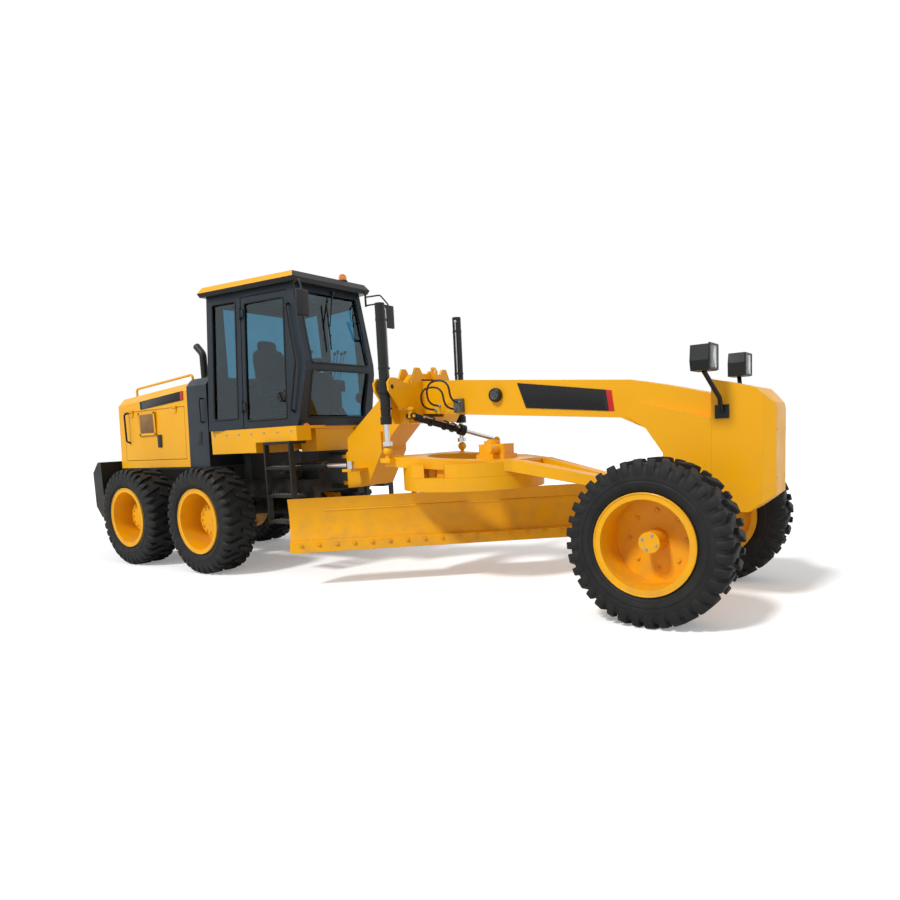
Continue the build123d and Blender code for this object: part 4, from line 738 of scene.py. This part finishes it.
def seat():
    """Sprung seat on its bellows, with arm rests and a head rest."""
    low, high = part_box("seat")
    x, floor_z = low.x + 0.32, low.z
    bm = bmesh.new()
    outline = [(0.0, 0.0), (0.0, 0.19), (0.06, 0.2)]
    for i in range(5):
        outline += [(0.08 + i * 0.045, 0.155), (0.1025 + i * 0.045, 0.185)]
    outline += [(0.31, 0.2), (0.345, 0.2), (0.345, 0.0)]
    lathe(bm, outline, (x, 0, floor_z), (0, 0, 1), 4)
    base = piece("seat_base", "rear", PLASTIC, bm, bevel=0.006)
    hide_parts("seat")
    cushion("seat_cushion", (x, 0, floor_z + 0.415), (0.245, 0.245, 0.065), crown=0.18)
    cushion("seat_back", (x - 0.225, 0, floor_z + 0.70), (0.26, 0.225, 0.055), SEAT_LEAN, 0.2)
    cushion("head_rest", (x - 0.272, 0, floor_z + 0.99), (0.075, 0.13, 0.045), SEAT_LEAN, 0.1, 3.5)
    bm = bmesh.new()
    for out in (-1, 1):
        y = out * 0.225
        block(bm, (x - 0.2, y - 0.024, floor_z + 0.56), (x + 0.1, y + 0.024, floor_z + 0.6))
        bar(bm, (x - 0.17, y, floor_z + 0.45), (x - 0.15, y, floor_z + 0.57), 0.016, sides=12)
    piece("arm_rests", "rear", PLASTIC, bm, bevel=0.012)


def levers():
    """Two rows of levers with round knobs, the consoles under them, and pedals."""
    bm, knobs = bmesh.new(), bmesh.new()
    for out in (-1, 1):
        for i in range(4):
            y = out * (0.17 + 0.045 * i)
            foot = Vector((-0.62, y, 2.12))
            head = Vector((-0.545 + 0.01 * i, y + out * 0.01, 2.42 + 0.02 * (i % 2)))
            bar(bm, foot, head, 0.006, sides=8)
            lathe(knobs, [(-0.02, 0.0), (-0.014, 0.012), (0.006, 0.019), (0.02, 0.014), (0.026, 0.0)], head,
                  head - foot, 14)
        block(knobs, (-0.7, out * 0.235 - 0.1, 2.0), (-0.56, out * 0.235 + 0.1, 2.13))
        block(knobs, (-0.67, out * 0.235 - 0.06, 1.6), (-0.59, out * 0.235 + 0.06, 2.0))
        block(knobs, (-0.5, out * 0.2 - 0.05, 1.66), (-0.485, out * 0.2 + 0.05, 1.82),
              Matrix.Rotation(-0.6, 4, "Y"))
    piece("lever_stems", "rear", ROD, bm)
    piece("lever_knobs", "rear", PLASTIC, knobs, bevel=0.003)


def mirrors_and_beacon():
    """Mirrors on their arms, which stand for the CAD's roof fittings, and the beacon."""
    first = None
    for hand, out in HANDS:
        stub = Vector((-0.343, out * 0.545, 3.11))
        bm = bmesh.new()
        bar(bm, stub, stub - Vector((0, 0, 0.14)), 0.012)
        piece(f"mirror_post_{hand}", "rear", BLACK, bm)
        for name, z, end in (("upper", 3.08, 2.945), ("lower", 2.985, 2.83)):
            tube(f"mirror_arm_{name}_{hand}", "rear", BLACK,
                 [(-0.343, out * 0.545, z), (-0.18, out * 0.62, z + 0.01), (-0.1, out * 0.665, end + 0.03),
                  (-0.1, out * 0.665, end - 0.05)], 0.009, bend=0.05)
        bm = bmesh.new()
        block(bm, (-0.117, out * 0.665 - 0.083, 2.702), (-0.083, out * 0.665 + 0.083, 2.968))
        head = piece(f"mirror_case_{hand}", "rear", PLASTIC, bm, bevel=0.016, segments=3)
        first = first or head
        bm = bmesh.new()
        block(bm, (-0.1195, out * 0.665 - 0.068, 2.72), (-0.1165, out * 0.665 + 0.068, 2.95))
        piece(f"mirror_glass_{hand}", "rear", BRIGHT, bm, bevel=0.0012)
    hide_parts("roof_fittings")
    spot = (-0.405, 0.25, 3.219)
    bm = bmesh.new()
    lathe(bm, [(0.0, 0.0), (0.0, 0.054), (0.014, 0.054), (0.02, 0.048), (0.02, 0.0)], spot, (0, 0, 1), 32)
    piece("beacon_base", "rear", PLASTIC, bm)
    bm = bmesh.new()
    lathe(bm, [(0.0205, 0.0), (0.0205, 0.047), (0.05, 0.045), (0.074, 0.037), (0.086, 0.022),
               (0.0905, 0.0)], spot, (0, 0, 1), 32)
    piece("beacon_lens", "rear", AMBER, bm)
    bm = bmesh.new()
    lathe(bm, [(0.0208, 0.0), (0.0208, 0.02), (0.06, 0.02), (0.068, 0.0)], spot, (0, 0, 1), 16)
    piece("beacon_bulb", "rear", REFLECTOR, bm)


seals()
grab_bars()
wiper()
corner_lamps()
seat()
levers()
mirrors_and_beacon()


# ---- nose, engine hood and steps ------------------------------------------------------------

def headlamps():
    """Bezel, reflector and ribbed glass in the front of each lamp case."""
    for hand, out in HANDS:
        y0, y1 = sorted((out * 0.395, out * 0.62))
        x = 3.885
        bm = bmesh.new()
        rim = [(x, y0 + 0.004, 1.794), (x, y1 - 0.004, 1.794), (x, y1 - 0.004, 1.976), (x, y0 + 0.004, 1.976)]
        middle = Vector((x, (y0 + y1) / 2, 1.885))
        for one, two in zip(rim, rim[1:] + rim[:1]):
            one, two = Vector(one), Vector(two)
            slab(bm, [one, two, two.lerp(middle, 0.16), one.lerp(middle, 0.16)], (0.011, 0, 0))
        piece(f"headlamp_bezel_{hand}", "front", PLASTIC, bm)
        bm = bmesh.new()
        block(bm, (x + 0.0005, y0 + 0.02, 1.808), (x + 0.002, y1 - 0.02, 1.962))
        piece(f"headlamp_reflector_{hand}", "front", REFLECTOR, bm, bevel=0.0005)
        bm = bmesh.new()
        block(bm, (x + 0.0025, y0 + 0.019, 1.807), (x + 0.0095, y1 - 0.019, 1.963))
        piece(f"headlamp_glass_{hand}", "front", LENS, bm, bevel=0.003)


def hood_trim():
    """Blank label, punched sheet in its frame, latches and rear handle on each side of the engine hood."""
    for hand, out in HANDS:
        y = out * HOOD_SIDE
        label = [(-2.33, y, 2.12), (-3.30, y, 2.05), (-3.30, y, 1.95), (-2.33, y, 2.01)]
        sign(f"hood_label_{hand}", "rear", label, (0, out * 0.004, 0), 0.045)
        door = f"hood_door_{hand}"
        y = out * DOOR_SIDE
        bm = bmesh.new()
        slab(bm, [(-3.32, y, 1.61), (-2.97, y, 1.61), (-2.97, y, 1.91), (-3.32, y, 1.91)],
             (0, out * 0.003, 0))
        piece(f"louvre_sheet_{hand}", door, GRILLE, bm, bevel=0.001)
        bm = bmesh.new()
        for z in (1.625, 1.895):
            block(bm, (-3.335, y - 0.004, z - 0.015), (-2.955, y + 0.006, z + 0.015))
        for x in (-3.32, -2.97):
            block(bm, (x - 0.015, y - 0.004, 1.61), (x + 0.015, y + 0.006, 1.91))
        piece(f"louvre_frame_{hand}", door, YELLOW, bm, bevel=0.003)
        for name, x, z in (("rear", -2.885, 1.53), ("front", -2.02, 1.53)):
            bm = bmesh.new()
            block(bm, (x - 0.045, y - 0.004, z - 0.08), (x + 0.045, y + 0.006, z + 0.08))
            block(bm, (x - 0.02, y + 0.004, z - 0.05), (x + 0.02, y + 0.012, z + 0.05))
            piece(f"hood_latch_{name}_{hand}", door, PLASTIC, bm, bevel=0.005)
        tube(f"rear_handle_{hand}", "rear", BLACK,
             [(-3.60, out * y, z) for y, z in ((0.66, 1.93), (0.73, 1.90), (0.73, 1.55), (0.66, 1.52))],
             0.012, bend=0.04)


def cab_skirt_bolts():
    """Row of bolts along the skirt under each side of the cab."""
    for hand, out in HANDS:
        spots = [((-1.62 + 0.22 * i, out * 0.7602, 1.545), (0, out, 0)) for i in range(7)]
        bolts(f"skirt_bolts_{hand}", "rear", ZINC, spots, 0.01, 0.008)


def edge_bolts():
    """Bolts along the cutting edge, in the blade's own angle."""
    turn = Matrix.Translation((BLADE_MIDDLE, 0, 0)) @ Matrix.Rotation(BLADE_ANGLE, 4, "Z")
    way = tuple(turn.to_3x3() @ Vector((1, 0, 0)))
    bolts("edge_bolts", "blade", YELLOW,
          [(tuple(turn @ Vector((0.048, -1.72 + 0.1720 * i, 0.428))), way) for i in range(21)], 0.013, 0.008)


def step_grips():
    """Raised studs on each tread of the ladders."""
    for hand, out in HANDS:
        spots = [((-0.69 + 0.046 * i, out * (0.66 + 0.045 * j), z), (0, 0, 1))
                 for z in (0.6, 0.88, 1.18) for i in range(9) for j in range(3)]
        bolts(f"tread_studs_{hand}", "rear", ZINC, spots, 0.008, 0.004)


headlamps()
hood_trim()
cab_skirt_bolts()
edge_bolts()
step_grips()


# ---- cylinders and hoses --------------------------------------------------------------------

def cylinder_trim(name, body, start, way, gland, pipe_from, radius, aside):
    """Gland nut, clamps, steel pipe and pipe unions of a ram; places are metres along it from its start."""
    a, way, aside = Vector(start), Vector(way).normalized(), Vector(aside).normalized()

    def at(along, off):
        """Place along the ram and off to its side."""
        return a + way * along + aside * off

    bm = bmesh.new()
    lathe(bm, [(gland - 0.07, radius + 0.0005), (gland - 0.068, radius + 0.009),
               (gland - 0.004, radius + 0.009), (gland, radius + 0.002), (gland, radius - 0.012),
               (gland - 0.07, radius - 0.012), (gland - 0.07, radius + 0.0005)], a, way, 28)
    for along in (pipe_from + 0.09, (pipe_from + gland) / 2, gland - 0.16):
        lathe(bm, [(along, radius - 0.002), (along, radius + 0.003), (along + 0.022, radius + 0.003),
                   (along + 0.022, radius - 0.002), (along, radius - 0.002)], a, way, 28)
        mid = at(along + 0.011, radius + 0.012)
        bar(bm, mid - aside * 0.014, mid + aside * 0.012, 0.011, sides=10)
    piece(name + "_gland", body, BLACK, bm)
    reach = radius + 0.013
    sunk = radius - 0.004
    tube(name + "_pipe", body, ZINC, [at(pipe_from, sunk), at(pipe_from, reach), at(gland - 0.1, reach),
                                      at(gland - 0.1, sunk)], 0.007, bend=0.02)
    bm = bmesh.new()
    for along in (pipe_from, gland - 0.1):
        bar(bm, at(along, radius - 0.006), at(along, radius + 0.006), 0.015, sides=6)
    piece(name + "_unions", body, ZINC, bm, bevel=0.001)


def cylinders():
    """Trim of the two lift rams and of the centre-shift ram."""
    for hand, out in HANDS:
        low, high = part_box(f"lift_barrel_{hand}")
        cylinder_trim(f"lift_{hand}", f"lift_barrel_{hand}", (0.895, out * 0.62, high.z), (0, 0, -1),
                      high.z - low.z - 0.001, 0.05, 0.046, (0.35, -out, 0))
    way = Vector((1.426, 0.5, 1.356)) - Vector((1.026, -0.4, 1.627))
    cylinder_trim("shift", "shift_barrel", (1.026, -0.4, 1.627), way, 0.619, 0.12, 0.046, (0.9, -0.3, 0.33))


def hoses():
    """Two hose loops from the valve block on the beam's side to the unions by the saddle."""
    bm = bmesh.new()
    block(bm, (1.40, -0.215, 1.635), (1.50, -0.169, 1.765))
    piece("valve_block", "front", CAST, bm, bevel=0.004)
    for name, z, x, foot, far in (("upper", 1.73, 1.475, (1.205, -0.17, 1.715), -0.36),
                                  ("lower", 1.67, 1.425, (1.155, -0.17, 1.68), -0.39)):
        bm = bmesh.new()
        bar(bm, (x, -0.212, z), (x, -0.238, z), 0.014, sides=6)
        bar(bm, foot, (foot[0], foot[1] - 0.03, foot[2]), 0.014, sides=6)
        bar(bm, foot, (foot[0], foot[1] - 0.008, foot[2]), 0.02, sides=16)
        piece(f"hose_unions_{name}", "front", ZINC, bm, bevel=0.001)
        route = [(x, -0.238, z), (x, far, z), (x - 0.01, far - 0.01, z + 0.21),
                 (foot[0], far - 0.01, z + 0.21), (foot[0], far, foot[2]), (foot[0], foot[1] - 0.03, foot[2])]
        hose = strand(f"hose_{name}", route, HOSE_DIAMETER / 2)
        hose.data.materials.append(HOSE)
        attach(hose, "front")


def hood_caps():
    """Air cleaner cap on the hood and filler cap on the tank."""
    bm = bmesh.new()
    lathe(bm, [(-0.03, 0.0), (-0.03, 0.05), (0.02, 0.05), (0.024, 0.085), (0.05, 0.09), (0.066, 0.075),
               (0.072, 0.0)], (-2.62, 0.28, 2.2), (0, 0, 1), 36)
    piece("air_cleaner_cap", "rear", PLASTIC, bm)
    bm = bmesh.new()
    lathe(bm, [(-0.02, 0.0), (-0.02, 0.034), (0.01, 0.034), (0.012, 0.045), (0.03, 0.045), (0.034, 0.04),
               (0.034, 0.0)], (-2.05, -0.45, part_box("tank_housing")[1].z), (0, 0, 1), 24)
    piece("filler_cap", "rear", PLASTIC, bm)


cylinders()
hoses()
hood_caps()


# ---- floor, light and camera ----------------------------------------------------------------

def floor():
    """Pale floor that shows as white but keeps the shadow."""
    mat, tree, _ = blank("pale_floor")
    white = add(tree, "ShaderNodeBsdfDiffuse", {"Color": linear("#F4F4F4"), "Roughness": 0.5})
    seen = add(tree, "ShaderNodeLightPath").outputs["Is Camera Ray"]
    glow = add(tree, "ShaderNodeMath", {0: seen, 1: WHITE_FLOOR_LIFT}, operation="MULTIPLY")
    lift = add(tree, "ShaderNodeEmission", {"Strength": glow.outputs[0]})
    both = add(tree, "ShaderNodeAddShader", {0: white.outputs[0], 1: lift.outputs[0]})
    add(tree, "ShaderNodeOutputMaterial", {"Surface": both.outputs[0]})
    bm = bmesh.new()
    bmesh.ops.create_grid(bm, x_segments=1, y_segments=1, size=60)
    obj = stand("floor", bm)
    obj.data.materials.append(mat)


def sky():
    """White all round for the eye, for gloss and through glass; softer for the light it gives."""
    world = bpy.data.worlds.new("studio")
    bpy.context.scene.world = world
    world.use_nodes = True
    tree = world.node_tree
    tree.nodes.clear()
    path = add(tree, "ShaderNodeLightPath").outputs
    seen = add(tree, "ShaderNodeMath", {0: path["Is Camera Ray"], 1: path["Is Transmission Ray"]},
               operation="MAXIMUM").outputs[0]
    gloss = add(tree, "ShaderNodeMath", {0: seen, 1: path["Is Glossy Ray"]}, operation="MAXIMUM").outputs[0]
    strength = add(tree, "ShaderNodeMapRange", {"Value": gloss, "To Min": SKY_LIGHT, "To Max": 1.0})
    back = add(tree, "ShaderNodeBackground", {"Color": (1, 1, 1, 1), "Strength": strength.outputs[0]})
    add(tree, "ShaderNodeOutputWorld", {"Surface": back.outputs[0]})


def lamp(name, way, strength, softness):
    """Soft sun that shines along a direction."""
    light = bpy.data.lights.new(name, "SUN")
    light.energy = strength
    light.angle = math.radians(softness)
    obj = bpy.data.objects.new(name, light)
    obj.rotation_euler = Vector(way).to_track_quat("-Z", "Y").to_euler()
    bpy.context.collection.objects.link(obj)


def camera():
    """Camera low at the machine's front right corner."""
    turn, down, roll = (math.radians(v) for v in (36.444, 6.288, -2.783))
    ahead = Vector((-math.sin(turn) * math.cos(down), math.cos(turn) * math.cos(down), -math.sin(down)))
    right = Vector((math.cos(turn), math.sin(turn), 0))
    up = right.cross(ahead)
    right, up = (math.cos(roll) * right + math.sin(roll) * up, math.cos(roll) * up - math.sin(roll) * right)
    data = bpy.data.cameras.new("camera")
    data.lens = 27.417
    data.sensor_width = 36
    data.shift_x, data.shift_y = -0.0002, 0.0684
    data.clip_start, data.clip_end = 0.05, 200
    obj = bpy.data.objects.new("camera", data)
    place = Matrix((right, up, -ahead)).transposed().to_4x4()
    place.translation = (5.274, -5.593, 1.417)
    obj.matrix_world = place
    bpy.context.collection.objects.link(obj)
    bpy.context.scene.camera = obj


floor()
sky()
lamp("key", (0.12, 0.74, -0.82), 2.05, 9)
lamp("fill", (-0.85, 0.1, -0.5), 0.2, 40)
camera()
bpy.context.scene.view_settings.view_transform = "Standard"
